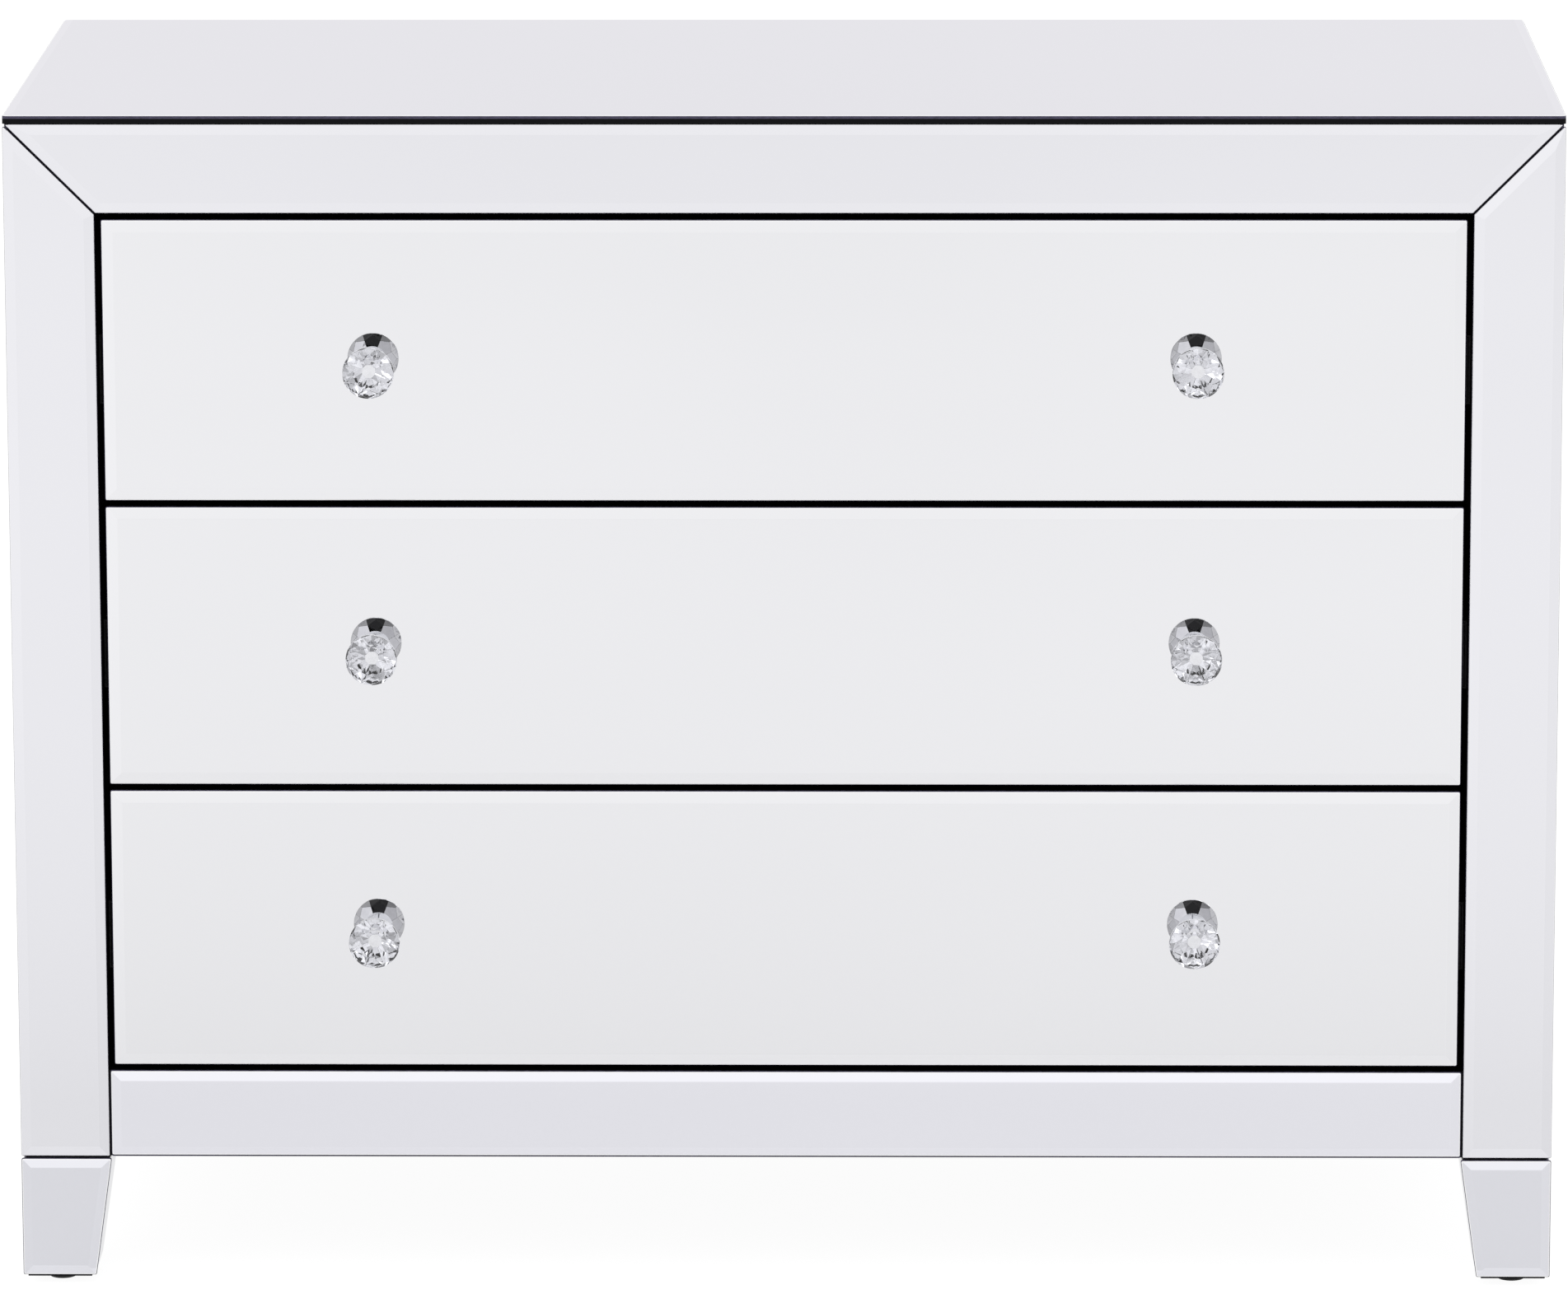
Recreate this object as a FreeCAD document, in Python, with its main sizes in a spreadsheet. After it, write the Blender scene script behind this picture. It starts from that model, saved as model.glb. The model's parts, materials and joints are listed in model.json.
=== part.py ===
import FreeCAD, Part
import os
import re

import Sketcher

# Mirrored chest of three drawers, in millimetres.
# The origin lies on the floor, under the middle of the chest with its knobs.
# X runs to the right seen from the front, Y from the front to the back, and Z up.

# Driving dimensions: name, value and what it measures.
DIMENSIONS = (
    ("overall_width", 1000, "over the two side mirrors"),
    ("overall_height", 775.5, "floor to the top mirror"),
    ("body_depth", 450, "front mirrors to the back panel, without the knobs"),
    ("mirror_thick", 3, "silvered glass"),
    ("mirror_edge", 2, "glass left upright under a bevel"),
    ("frame_bevel", 6.8, "bevel on the frame, side and top mirrors"),
    ("drawer_bevel", 7.7, "bevel on the drawer mirrors"),
    ("leg_bevel", 6.2, "bevel on the leg mirrors"),
    ("frame_width", 58, "stile and top rail mirrors"),
    ("bottom_rail_height", 57.7, "bottom rail mirror"),
    ("mitre_gap", 1.6, "between the mitred mirrors, measured along an edge"),
    ("rail_gap", 1.3, "beside the bottom rail mirror"),
    ("lip_height", 3.4, "black edge of the top board over the mirrors"),
    ("lip_round", 3, "upright corners of the top board's edge"),
    ("board_thick", 18, "fibreboard of the carcass, frame and drawer fronts"),
    ("back_thick", 5, "back panel"),
    ("front_gap", 4.2, "round each drawer mirror"),
    ("leg_height", 78.7, "leg mirror, foot to joint"),
    ("leg_top_width", 59.2, "leg mirror at the joint"),
    ("leg_foot_width", 48, "leg mirror at the foot"),
    ("leg_joint", 1.6, "black line over the leg mirrors"),
    ("foot_drop", 1.3, "leg core below its mirrors"),
    ("glide_height", 5.5, "glide under the leg"),
    ("glide_radius", 10.5, "glide against the leg"),
    ("glide_flat", 8.5, "radius of the glide's flat underside"),
    ("nail_radius", 1.25, "nail of the glide"),
    ("nail_length", 14, "nail of the glide, inside the leg"),
    ("bolt_radius", 4, "shank of the leg bolt"),
    ("bolt_depth", 40, "leg bolt, inside the leg"),
    ("bolt_head_radius", 7, "leg bolt head, across its corners"),
    ("bolt_head_height", 5, "leg bolt head"),
    ("fit_play", 0.05, "radial clearance of nails, bolts and screws"),
    ("screw_radius", 1.75, "shank of the back panel screws"),
    ("screw_head_radius", 3.6, "back panel screw head"),
    ("screw_head_height", 2.2, "countersunk part of the back panel screw"),
    ("screw_length", 20, "back panel screw"),
    ("socket_half", 1.2, "half width of a screw's square socket"),
    ("socket_depth", 1.1, "depth of a screw's square socket"),
    ("box_thick", 12, "sides and back of the drawer boxes"),
    ("box_height", 140, "sides of the drawer boxes"),
    ("box_length", 380, "sides of the drawer boxes, behind the front"),
    ("box_lift", 12, "drawer box over the lower edge of its front"),
    ("bottom_thick", 5, "drawer bottom"),
    ("groove_depth", 6, "groove that holds the drawer bottom"),
    ("groove_lift", 9, "groove over the lower edge of the box"),
    ("groove_play", 0.2, "groove over the thickness of the drawer bottom"),
    ("front_inset", 1, "drawer front board inside the edge of its mirror"),
    ("back_drop", 8, "drawer back under the top of the sides"),
    ("runner_space", 12.7, "between the inner side and the drawer box"),
    ("runner_length", 350, "each runner member"),
    ("runner_height", 45, "cabinet member"),
    ("runner_sheet", 1.2, "steel of the runner members"),
    ("runner_play", 0.4, "between neighbouring runner members"),
    ("runner_flange", 9, "flange of the cabinet and middle members"),
    ("inner_flange", 7.5, "flange of the drawer member"),
    ("runner_setback", 3, "runner behind the drawer front board"),
    ("runner_lift", 70, "middle of the runner over the lower edge of the box"),
    ("knob_offset", 265.5, "knob beside the middle of the drawer"),
    ("knob_drop", 3, "knob below the middle of the drawer"),
    ("crystal_radius", 16.5, "girdle of the cut crystal"),
    ("culet_radius", 4.2, "flat back of the cut crystal"),
    ("pavilion_depth", 12, "back of the crystal to its girdle"),
    ("rim_width", 2.6, "ring of steep facets behind the girdle, across"),
    ("rim_rise", 3.4, "ring of steep facets behind the girdle, along"),
    ("girdle_height", 1, "upright rim of the crystal"),
    ("crown_height", 5.2, "girdle to the table"),
    ("table_radius", 9, "table of the crystal"),
    ("stem_length", 15.5, "mirror face to the back of the crystal"),
    ("rosette_radius", 7.5, "foot of the stem on the mirror"),
    ("rosette_height", 1.6, "foot of the stem on the mirror"),
    ("stem_radius", 4.2, "neck of the stem"),
    ("cup_floor", 2.2, "metal under the back of the crystal"),
    ("cup_height", 3.2, "rim of the cup over the back of the crystal"),
    ("cup_wall", 0.9, "rim of the cup that holds the crystal"),
    ("cup_play", 0.1, "cup round the facets of the crystal"),
    ("stem_bore_depth", 9, "threaded bore of the stem"),
    ("knob_screw_radius", 2, "shank of the knob screw"),
    ("knob_screw_end", 1, "bore left past the tip of the knob screw"),
    ("knob_hole_play", 0.3, "radial clearance of the drilled front"),
    ("knob_head_radius", 4, "knob screw head"),
    ("knob_head_height", 2.4, "knob screw head"),
    ("knob_head_rim", 1, "upright rim of the knob screw head"),
    ("overrun", 1, "how far a cutting shape runs past the solid"),
)

# Shares and counts that no length sets.
UPPER_FACET_STEEPNESS_SHARE = 1.2
STAR_FACET_STEEPNESS_SHARE = 0.62
GIRDLE_TRIM_SHARE = 0.3
HEAD_TOP_SHARE = 0.7
SIDE_SCREW_SHARES = (0.06, 0.35, 0.65, 0.94)
EDGE_SCREW_SHARES = (-0.55, 0, 0.55)
MAIN_FACETS = 8
GIRDLE_FACETS = 16
DRAWERS = ("bottom", "middle", "top")

# Places worked out from the driving dimensions.
PLACES = {
    "half_width": "overall_width / 2",
    "carcass_half": "half_width - mirror_thick",
    "side_inner": "carcass_half - board_thick",
    "frame_inner": "half_width - frame_width",
    "front_face": "(knob_reach - body_depth) / 2",
    "back_face": "front_face + body_depth",
    "board_front": "front_face + mirror_thick",
    "board_back": "board_front + board_thick",
    "panel_front": "back_face - back_thick",
    "mid_depth": "(board_front + back_face) / 2",
    "leg_bottom": "glide_height",
    "leg_mirror_bottom": "leg_bottom + foot_drop",
    "frame_bottom": "leg_mirror_bottom + leg_height + leg_joint",
    "floor_board_top": "frame_bottom + board_thick",
    "opening_bottom": "frame_bottom + bottom_rail_height",
    "board_top": "overall_height - mirror_thick",
    "top_board_bottom": "board_top - board_thick",
    "mirror_top": "board_top - lip_height",
    "opening_top": "mirror_top - frame_width",
    "drawer_gaps": f"{len(DRAWERS) + 1} * front_gap",
    "drawer_height": f"(opening_top - opening_bottom - drawer_gaps) / {len(DRAWERS)}",
    "drawer_pitch": "drawer_height + front_gap",
    "drawer_half": "frame_inner - front_gap",
    "box_half": "frame_inner - runner_space",
    "box_inner": "box_half - box_thick",
    "box_back": "board_back + box_length",
    "groove_height": "bottom_thick + groove_play",
    "leg_lean": "atan((leg_top_width - leg_foot_width) / leg_height)",
    "leaning_glass": "mirror_thick / cos(leg_lean)",
    "leaning_height": "leg_height / cos(leg_lean)",
    "core_top_width": "leg_top_width - mirror_thick - leaning_glass + leg_joint * tan(leg_lean)",
    "core_foot_width": "leg_foot_width - mirror_thick - leaning_glass - foot_drop * tan(leg_lean)",
    "core_top_depth": "leg_top_width - mirror_thick",
    "core_foot_depth": "leg_foot_width - mirror_thick",
    "leg_across": "carcass_half - core_top_width / 2",
    "leg_back": "board_front + core_top_depth / 2",
    "foot_across": "carcass_half - core_foot_width / 2",
    "foot_back": "board_front + core_foot_depth / 2",
    "middle_start": "runner_sheet + runner_play",
    "middle_height": "runner_height - 2 * middle_start",
    "inner_height": "middle_height - 2 * middle_start",
    "runner_back": "board_back + runner_setback + runner_length",
    "girdle_bottom": "stem_length + pavilion_depth",
    "girdle_top": "girdle_bottom + girdle_height",
    "knob_reach": "girdle_top + crown_height",
    "rim_inner": "crystal_radius - rim_width",
    "pavilion_slope": "(pavilion_depth - rim_rise) / (rim_inner - culet_radius)",
    "table_corner": f"table_radius / cos(180 deg / {MAIN_FACETS})",
    "crown_slope": "-crown_height / (crystal_radius - table_corner)",
    "facet_spread": f"1 / cos(180 deg / {MAIN_FACETS})",
    "seat_radius": "culet_radius * facet_spread + cup_play",
    "cup_inner": "seat_radius + facet_spread * cup_height / pavilion_slope",
    "knob_hole_radius": "knob_screw_radius + knob_hole_play",
    "knob_lift": "drawer_height / 2 - knob_drop",
}

FACING_UP = FreeCAD.Rotation()
FACING_FRONT = FreeCAD.Rotation(FreeCAD.Vector(1, 0, 0), 90)
FACING_BACK = FreeCAD.Rotation(FreeCAD.Vector(1, 0, 0), -90)
FACING_LEFT = FreeCAD.Rotation(
    FreeCAD.Vector(0, -1, 0), FreeCAD.Vector(0, 0, 1), FreeCAD.Vector(-1, 0, 0), "ZXY"
)
FACING_RIGHT = FreeCAD.Rotation(
    FreeCAD.Vector(0, 1, 0), FreeCAD.Vector(0, 0, 1), FreeCAD.Vector(1, 0, 0), "ZXY"
)

doc = FreeCAD.newDocument("chest_of_drawers")
sheet = doc.addObject("Spreadsheet::Sheet", "sizes")
for row, (alias, size, meaning) in enumerate(DIMENSIONS, start=1):
    sheet.set(f"A{row}", alias)
    sheet.set(f"B{row}", str(size))
    sheet.set(f"C{row}", meaning)
    sheet.setAlias(f"B{row}", alias)
doc.recompute()
ALIASES = {alias for alias, size, meaning in DIMENSIONS}

# Points nearer to each other than this count as one.
TOUCHING = Part.Precision.confusion()

# Every finished sub-part, by the name of its file.
pieces = {}


def spell(text):
    """Write out the derived places in an expression, and read its sizes from the sheet."""

    def swap(match):
        word = match.group(0)
        if word in PLACES:
            return "(" + spell(PLACES[word]) + ")"
        return "sizes." + word if word in ALIASES else word

    return re.sub(r"[a-z]\w*", swap, text)


def measure(text):
    """The value of an expression at the present sizes."""
    result = sheet.evalExpression(spell(text))
    return float(getattr(result, "Value", result))


def bind(thing, **sizes):
    """Bind properties of an object to expressions."""
    for name, text in sizes.items():
        thing.setExpression(name, spell(text))
    return thing


def put(thing, x="0", y="0", z="0", rotation=FACING_UP):
    """Place an object, with its three coordinates bound to expressions."""
    thing.Placement = FreeCAD.Placement(FreeCAD.Vector(), rotation)
    for axis, text in zip("xyz", (x, y, z)):
        thing.setExpression(f"Placement.Base.{axis}", spell(text))
    return thing


def new(kind, label):
    """Add an object with a label of its own."""
    thing = doc.addObject(kind, label)
    thing.Label = label
    return thing


def board(label, x, y, z):
    """A plain board between two expressions along each axis."""
    (left, right), (front, rear), (low, high) = x, y, z
    blank = new("Part::Box", label)
    bind(
        blank,
        Length=f"{right} - ({left})",
        Width=f"{rear} - ({front})",
        Height=f"{high} - ({low})",
    )
    return put(blank, left, front, low)


def rod(label, radius, length, x, y, z, rotation=FACING_UP):
    """A round bar that runs from a point along its own Z axis."""
    bar = new("Part::Cylinder", label)
    bind(bar, Radius=radius, Height=length)
    return put(bar, x, y, z, rotation)


def cut(label, base, *tools):
    """The base with every tool taken away."""
    for number, tool in enumerate(tools, start=1):
        last = number == len(tools)
        result = new("Part::Cut", label if last else f"{label}_after_cut_{number}")
        result.Base = base
        result.Tool = tool
        base = result
    return base


def group(label, members):
    """Separate solids kept under one name."""
    joined = new("Part::Compound", label)
    joined.Links = list(members)
    return joined


def across_width(label, source):
    """The same piece on the other side of the chest."""
    other = new("Part::Mirroring", label)
    other.Source = source
    other.Normal = FreeCAD.Vector(1, 0, 0)
    return other


def across_depth(label, source):
    """A leg piece taken from the front to the back of the chest."""
    other = new("Part::Mirroring", label)
    other.Source = source
    other.Normal = FreeCAD.Vector(0, 1, 0)
    other.setExpression("Base.y", spell("mid_depth"))
    return other


def left_and_right(label, source):
    """A piece of the left side with its twin on the right."""
    return [source, across_width(f"{label}_right", source)]


def four_corners(label, source):
    """A piece of the front left leg with its three twins."""
    back = across_depth(f"{label}_back", source)
    return left_and_right(f"{label}_front", source) + left_and_right(f"{label}_rear", back)


def keep(thing):
    """Count an object among the finished sub-parts, under its label."""
    pieces[thing.Label] = thing
    return thing


def keep_both(prefix, name, left):
    """Keep a left piece, and its mirror image on the right."""
    keep(left)
    keep(across_width(f"{prefix}right_{name}", left))


def origin_part(body, role):
    """One of the body's own origin planes or axes."""
    return next(part for part in body.Origin.OriginFeatures if part.Role == role)


def pin_point(sketch, geometry, vertex, across, up):
    """Fix a sketch point at two bound distances from the sketch's origin."""
    for kind, axis, text in (("DistanceX", -2, across), ("DistanceY", -1, up)):
        if text == "0":
            sketch.addConstraint(Sketcher.Constraint("PointOnObject", geometry, vertex, axis))
            continue
        distance = Sketcher.Constraint(kind, -1, 1, geometry, vertex, measure(text))
        index = sketch.addConstraint(distance)
        sketch.setExpression(f"Constraints[{index}]", spell(text))


def new_sketch(body, name, plane="XY_Plane", raised="0", turned=0):
    """An empty sketch on one of the body's origin planes."""
    sketch = body.newObject("Sketcher::SketchObject", name)
    sketch.AttachmentSupport = [(origin_part(body, plane), "")]
    sketch.MapMode = "FlatFace"
    spin = FreeCAD.Rotation(FreeCAD.Vector(0, 1, 0), turned)
    sketch.AttachmentOffset = FreeCAD.Placement(FreeCAD.Vector(), spin)
    if raised != "0":
        sketch.setExpression("AttachmentOffset.Base.z", spell(raised))
    return sketch


def outline(body, name, corners, **where):
    """A closed sketch of straight sides through bound corners."""
    sketch = new_sketch(body, name, **where)
    points = [FreeCAD.Vector(measure(across), measure(up), 0) for across, up in corners]
    for start, end in zip(points, points[1:] + points[:1]):
        sketch.addGeometry(Part.LineSegment(start, end), False)
    for side in range(len(points)):
        following = (side + 1) % len(points)
        sketch.addConstraint(Sketcher.Constraint("Coincident", side, 2, following, 1))
    for side, (across, up) in enumerate(corners):
        pin_point(sketch, side, 1, across, up)
    return sketch


def circles(body, name, centres, radius, **where):
    """A sketch of equal circles about bound centres."""
    sketch = new_sketch(body, name, **where)
    for number, (across, up) in enumerate(centres):
        centre = FreeCAD.Vector(measure(across), measure(up), 0)
        circle = Part.Circle(centre, FreeCAD.Vector(0, 0, 1), measure(radius))
        sketch.addGeometry(circle, False)
        pin_point(sketch, number, 3, across, up)
        index = sketch.addConstraint(Sketcher.Constraint("Radius", number, measure(radius)))
        sketch.setExpression(f"Constraints[{index}]", spell(radius))
    return sketch


def rectangle(left, right, low, high):
    """The corners of a rectangle."""
    return ((left, low), (right, low), (right, high), (left, high))


def add_pad(body, name, sketch, **sizes):
    """Pad a sketch of a body to a bound length."""
    pad = body.newObject("PartDesign::Pad", name)
    pad.Profile = sketch
    return bind(pad, **sizes)


def add_pocket(body, name, sketch, both_ways=False, upward=False, **sizes):
    """Cut a sketch of a body down, up or both ways, to a bound length or right through."""
    pocket = body.newObject("PartDesign::Pocket", name)
    pocket.Profile = sketch
    pocket.SideType = "Symmetric" if both_ways else "One side"
    pocket.Reversed = upward
    if not sizes:
        pocket.Type = "ThroughAll"
    return bind(pocket, **sizes)


def turned_body(label, profile):
    """A body of revolution about its own Z axis, from corners of radius and height."""
    body = new("PartDesign::Body", label)
    sketch = outline(body, f"{label}_profile", profile, plane="XZ_Plane")
    turning = body.newObject("PartDesign::Revolution", f"{label}_turning")
    turning.Profile = sketch
    turning.ReferenceAxis = (sketch, ["V_Axis"])
    turning.Angle = 360
    return body


def add_square_socket(body, **where):
    """Cut the square socket of a screw into its head."""
    corners = rectangle("-socket_half", "socket_half", "-socket_half", "socket_half")
    sketch = outline(body, f"{body.Label}_socket_outline", corners, **where)
    upward = "raised" in where
    add_pocket(body, f"{body.Label}_socket", sketch, upward=upward, Length="socket_depth")


def bevelled_mirror(label, corners, bevel, x="0", y="0", z="0", rotation=FACING_FRONT, holes=()):
    """A glass plate whose shown face has a ground bevel along every edge."""
    body = new("PartDesign::Body", label)
    edge = outline(body, f"{label}_edge_outline", corners)
    add_pad(body, f"{label}_edge_band", edge, Length="mirror_edge")
    rim = outline(body, f"{label}_rim_outline", corners, raised="mirror_edge")
    rise = "mirror_thick - mirror_edge"
    slope = f"-atan({bevel} / ({rise}))"
    add_pad(body, f"{label}_bevel", rim, Length=rise, TaperAngle=slope)
    if holes:
        drilled = circles(body, f"{label}_hole_outline", holes, "knob_hole_radius")
        add_pocket(body, f"{label}_holes", drilled, both_ways=True)
    return put(body, x, y, z, rotation)


# Carcass


def outer_uprights(shape, reach):
    """Names of the upright edges at the given distance from the middle."""
    names = []
    for number, edge in enumerate(shape.Edges, start=1):
        first, last = (vertex.Point for vertex in edge.Vertexes)
        upright = (last - first).isEqual(FreeCAD.Vector(0, 0, last.z - first.z), TOUCHING)
        if upright and abs(abs(first.x) - reach) < TOUCHING:
            names.append(f"Edge{number}")
    return names


def top_board():
    """A board whose thin black lip runs out over the mirrors and the back panel."""
    body = new("PartDesign::Body", "top_board_blank")
    core = rectangle("-carcass_half", "carcass_half", "board_front", "panel_front")
    core_outline = outline(body, "top_board_core_outline", core, raised="top_board_bottom")
    add_pad(body, "top_board_core", core_outline, Length="board_thick")
    lip = rectangle("-half_width", "half_width", "front_face", "back_face")
    lip_outline = outline(body, "top_board_lip_outline", lip, raised="mirror_top")
    lip_pad = add_pad(body, "top_board_lip", lip_outline, Length="lip_height")
    doc.recompute()
    rounding = body.newObject("PartDesign::Fillet", "top_board_rounding")
    rounding.Base = (lip_pad, outer_uprights(lip_pad.Shape, measure("half_width")))
    bind(rounding, Radius="lip_round")
    return body


def back_screw_places():
    """Where the back panel is screwed to the sides, the bottom and the top board."""
    sides = "carcass_half - board_thick / 2"
    for side in (-1, 1):
        for share in SIDE_SCREW_SHARES:
            height = f"frame_bottom + {share} * (mirror_top - frame_bottom)"
            yield f"{side} * ({sides})", height
    for share in EDGE_SCREW_SHARES:
        yield f"{share} * carcass_half", "frame_bottom + board_thick / 2"
        yield f"{share} * carcass_half", "(top_board_bottom + mirror_top) / 2"


def countersunk_screw(label):
    """A screw with a flat countersunk head at its origin and a square socket."""
    profile = (
        ("0", "-screw_length"),
        ("screw_radius", "-screw_length + screw_radius"),
        ("screw_radius", "-screw_head_height"),
        ("screw_head_radius", "0"),
        ("0", "0"),
    )
    body = turned_body(label, profile)
    add_square_socket(body)
    return body


def countersink(label):
    """The hole that a back panel screw needs."""
    profile = (
        ("0", "-screw_length - overrun"),
        ("screw_radius + fit_play", "-screw_length - overrun"),
        ("screw_radius + fit_play", "-screw_head_height - fit_play"),
        ("screw_head_radius + fit_play", "-fit_play"),
        ("screw_head_radius + fit_play", "overrun"),
        ("0", "overrun"),
    )
    return turned_body(label, profile)


def back_screws():
    """The back panel screws, and the holes that the boards get for them."""
    screws, holes = [], []
    for number, (x, z) in enumerate(back_screw_places(), start=1):
        screw = countersunk_screw(f"back_screw_{number}")
        screws.append(put(screw, x, "back_face", z, FACING_BACK))
        hole = countersink(f"back_screw_hole_{number}")
        holes.append(put(hole, x, "back_face", z, FACING_BACK))
    keep(group("back_panel_screws", screws))
    return group("back_screw_holes", holes)


def carcass_boards():
    """The boards of the body, drilled for the back screws and the leg bolts."""
    screw_holes = back_screws()
    bolt_hole = rod(
        "bolt_hole",
        "bolt_radius + fit_play",
        "board_thick + 2 * overrun",
        "-leg_across",
        "leg_back",
        "frame_bottom - overrun",
    )
    bolt_holes = group("bolt_holes", four_corners("bolt_hole", bolt_hole))
    behind_frame = ("board_back", "panel_front")
    under_top = ("frame_bottom", "top_board_bottom")

    keep(cut("top_board", top_board(), screw_holes))
    floor = board("bottom_board_blank", ("-side_inner", "side_inner"), behind_frame,
                  ("frame_bottom", "floor_board_top"))
    keep(cut("bottom_board", floor, screw_holes, bolt_holes))
    panel = board("back_panel_blank", ("-carcass_half", "carcass_half"),
                  ("panel_front", "back_face"), ("frame_bottom", "mirror_top"))
    keep(cut("back_panel", panel, screw_holes))
    side = board("left_side_blank", ("-carcass_half", "-side_inner"), behind_frame, under_top)
    keep_both("", "side_panel", cut("left_side_panel", side, screw_holes))
    inner = board("left_inner_side", ("-frame_inner - board_thick", "-frame_inner"),
                  behind_frame, ("floor_board_top", "top_board_bottom"))
    keep_both("", "inner_side", inner)


def front_frame():
    """The black stiles and rails that carry the front mirrors."""
    in_frame = ("board_front", "board_back")
    between = ("-frame_inner", "frame_inner")
    stile = board("left_stile", ("-carcass_half", "-frame_inner"), in_frame,
                  ("frame_bottom", "top_board_bottom"))
    keep_both("", "stile", stile)
    keep(board("top_rail", between, in_frame, ("opening_top", "top_board_bottom")))
    keep(board("bottom_rail", between, in_frame, ("frame_bottom", "opening_bottom")))


def body_mirrors():
    """The bevelled mirrors of the top, the sides and the mitred front frame."""
    lid = rectangle("-half_width", "half_width", "front_face", "back_face")
    keep(bevelled_mirror("top_mirror", lid, "frame_bevel", z="board_top", rotation=FACING_UP))

    side = rectangle("mirror_thick - body_depth", "0", "frame_bottom", "mirror_top")
    place = dict(x="-carcass_half", y="board_front", rotation=FACING_LEFT)
    keep_both("", "side_mirror", bevelled_mirror("left_side_mirror", side, "frame_bevel", **place))

    stile = (
        ("-half_width", "frame_bottom"),
        ("-frame_inner", "frame_bottom"),
        ("-frame_inner", "opening_top - mitre_gap / 2"),
        ("-half_width", "mirror_top - mitre_gap / 2"),
    )
    upright = bevelled_mirror("left_stile_mirror", stile, "frame_bevel", y="board_front")
    keep_both("", "stile_mirror", upright)

    rail = (
        ("-frame_inner + mitre_gap / 2", "opening_top"),
        ("frame_inner - mitre_gap / 2", "opening_top"),
        ("half_width - mitre_gap / 2", "mirror_top"),
        ("-half_width + mitre_gap / 2", "mirror_top"),
    )
    keep(bevelled_mirror("top_rail_mirror", rail, "frame_bevel", y="board_front"))

    reach = "frame_inner - rail_gap"
    low_rail = rectangle(f"-({reach})", reach, "frame_bottom", "opening_bottom")
    keep(bevelled_mirror("bottom_rail_mirror", low_rail, "frame_bevel", y="board_front"))


# Legs


def leg_core():
    """The front left leg, tapered on its two inner sides and drilled from both ends."""
    wedge = new("Part::Wedge", "front_left_leg_blank")
    bind(
        wedge,
        Xmin="0",
        Xmax="core_foot_width",
        Zmin="-core_foot_depth",
        Zmax="0",
        Ymin="0",
        Ymax="frame_bottom - leg_bottom",
        X2min="0",
        X2max="core_top_width",
        Z2min="-core_top_depth",
        Z2max="0",
    )
    put(wedge, "-carcass_half", "board_front", "leg_bottom", FACING_FRONT)
    bolt_hole = rod(
        "leg_bolt_hole",
        "bolt_radius + fit_play",
        "bolt_depth + 2 * overrun",
        "-leg_across",
        "leg_back",
        "frame_bottom - bolt_depth - overrun",
    )
    nail_hole = rod(
        "leg_nail_hole",
        "nail_radius + fit_play",
        "nail_length + 2 * overrun",
        "-foot_across",
        "foot_back",
        "leg_bottom - overrun",
    )
    return cut("front_left_leg", wedge, bolt_hole, nail_hole)


def legs():
    """Four black leg cores."""
    front_left = keep(leg_core())
    keep(across_width("front_right_leg", front_left))
    back_left = keep(across_depth("back_left_leg", front_left))
    keep(across_width("back_right_leg", back_left))


def leg_inner_mirror():
    """The mirror on the tapered inner side of the front left leg, which leans with it."""
    corners = (
        ("0", "0"),
        ("core_foot_depth", "0"),
        ("core_top_depth", "leaning_height"),
        ("0", "leaning_height"),
    )
    plate = bevelled_mirror("leg_inner_plate", corners, "leg_bevel", rotation=FACING_RIGHT)
    leaning = group("leg_inner_mirror", [plate])
    lean = FreeCAD.Rotation(FreeCAD.Vector(0, 1, 0), measure("leg_lean"))
    inner = "leg_foot_width - half_width - leaning_glass"
    put(leaning, inner, "board_front", "leg_mirror_bottom", lean)
    return bind(leaning, **{"Placement.Rotation.Angle": "leg_lean"})


def leg_mirrors():
    """Bevelled mirrors of the legs: outer sides, and fronts and inner sides of the front two."""
    front = (
        ("0", "0"),
        ("leg_foot_width", "0"),
        ("leg_top_width", "leg_height"),
        ("0", "leg_height"),
    )
    side = (
        ("-core_foot_depth", "0"),
        ("0", "0"),
        ("0", "leg_height"),
        ("-core_top_depth", "leg_height"),
    )
    foot = dict(y="board_front", z="leg_mirror_bottom")
    face = bevelled_mirror("leg_front_mirror", front, "leg_bevel", x="-half_width", **foot)
    flank = bevelled_mirror("leg_side_mirror", side, "leg_bevel", x="-carcass_half",
                            rotation=FACING_LEFT, **foot)
    plates = left_and_right("leg_front_mirror", face) + four_corners("leg_side_mirror", flank)
    plates += left_and_right("leg_inner_mirror", leg_inner_mirror())
    keep(group("leg_mirrors", plates))


def leg_bolts():
    """Four bolts that hold the legs under the bottom board."""
    body = new("PartDesign::Body", "leg_bolt")
    half, tall = "bolt_head_radius / 2", "bolt_head_radius * sqrt(3) / 2"
    hexagon = (
        ("bolt_head_radius", "0"),
        (half, tall),
        (f"-{half}", tall),
        ("-bolt_head_radius", "0"),
        (f"-{half}", f"-{tall}"),
        (half, f"-{tall}"),
    )
    add_pad(body, "leg_bolt_head", outline(body, "leg_bolt_hexagon", hexagon),
            Length="bolt_head_height")
    reach = "board_thick + bolt_depth"
    shank = circles(body, "leg_bolt_circle", [("0", "0")], "bolt_radius", raised=f"-({reach})")
    add_pad(body, "leg_bolt_shank", shank, Length=reach)
    put(body, "-leg_across", "leg_back", "floor_board_top")
    keep(group("leg_bolts", four_corners("leg_bolt", body)))


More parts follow.
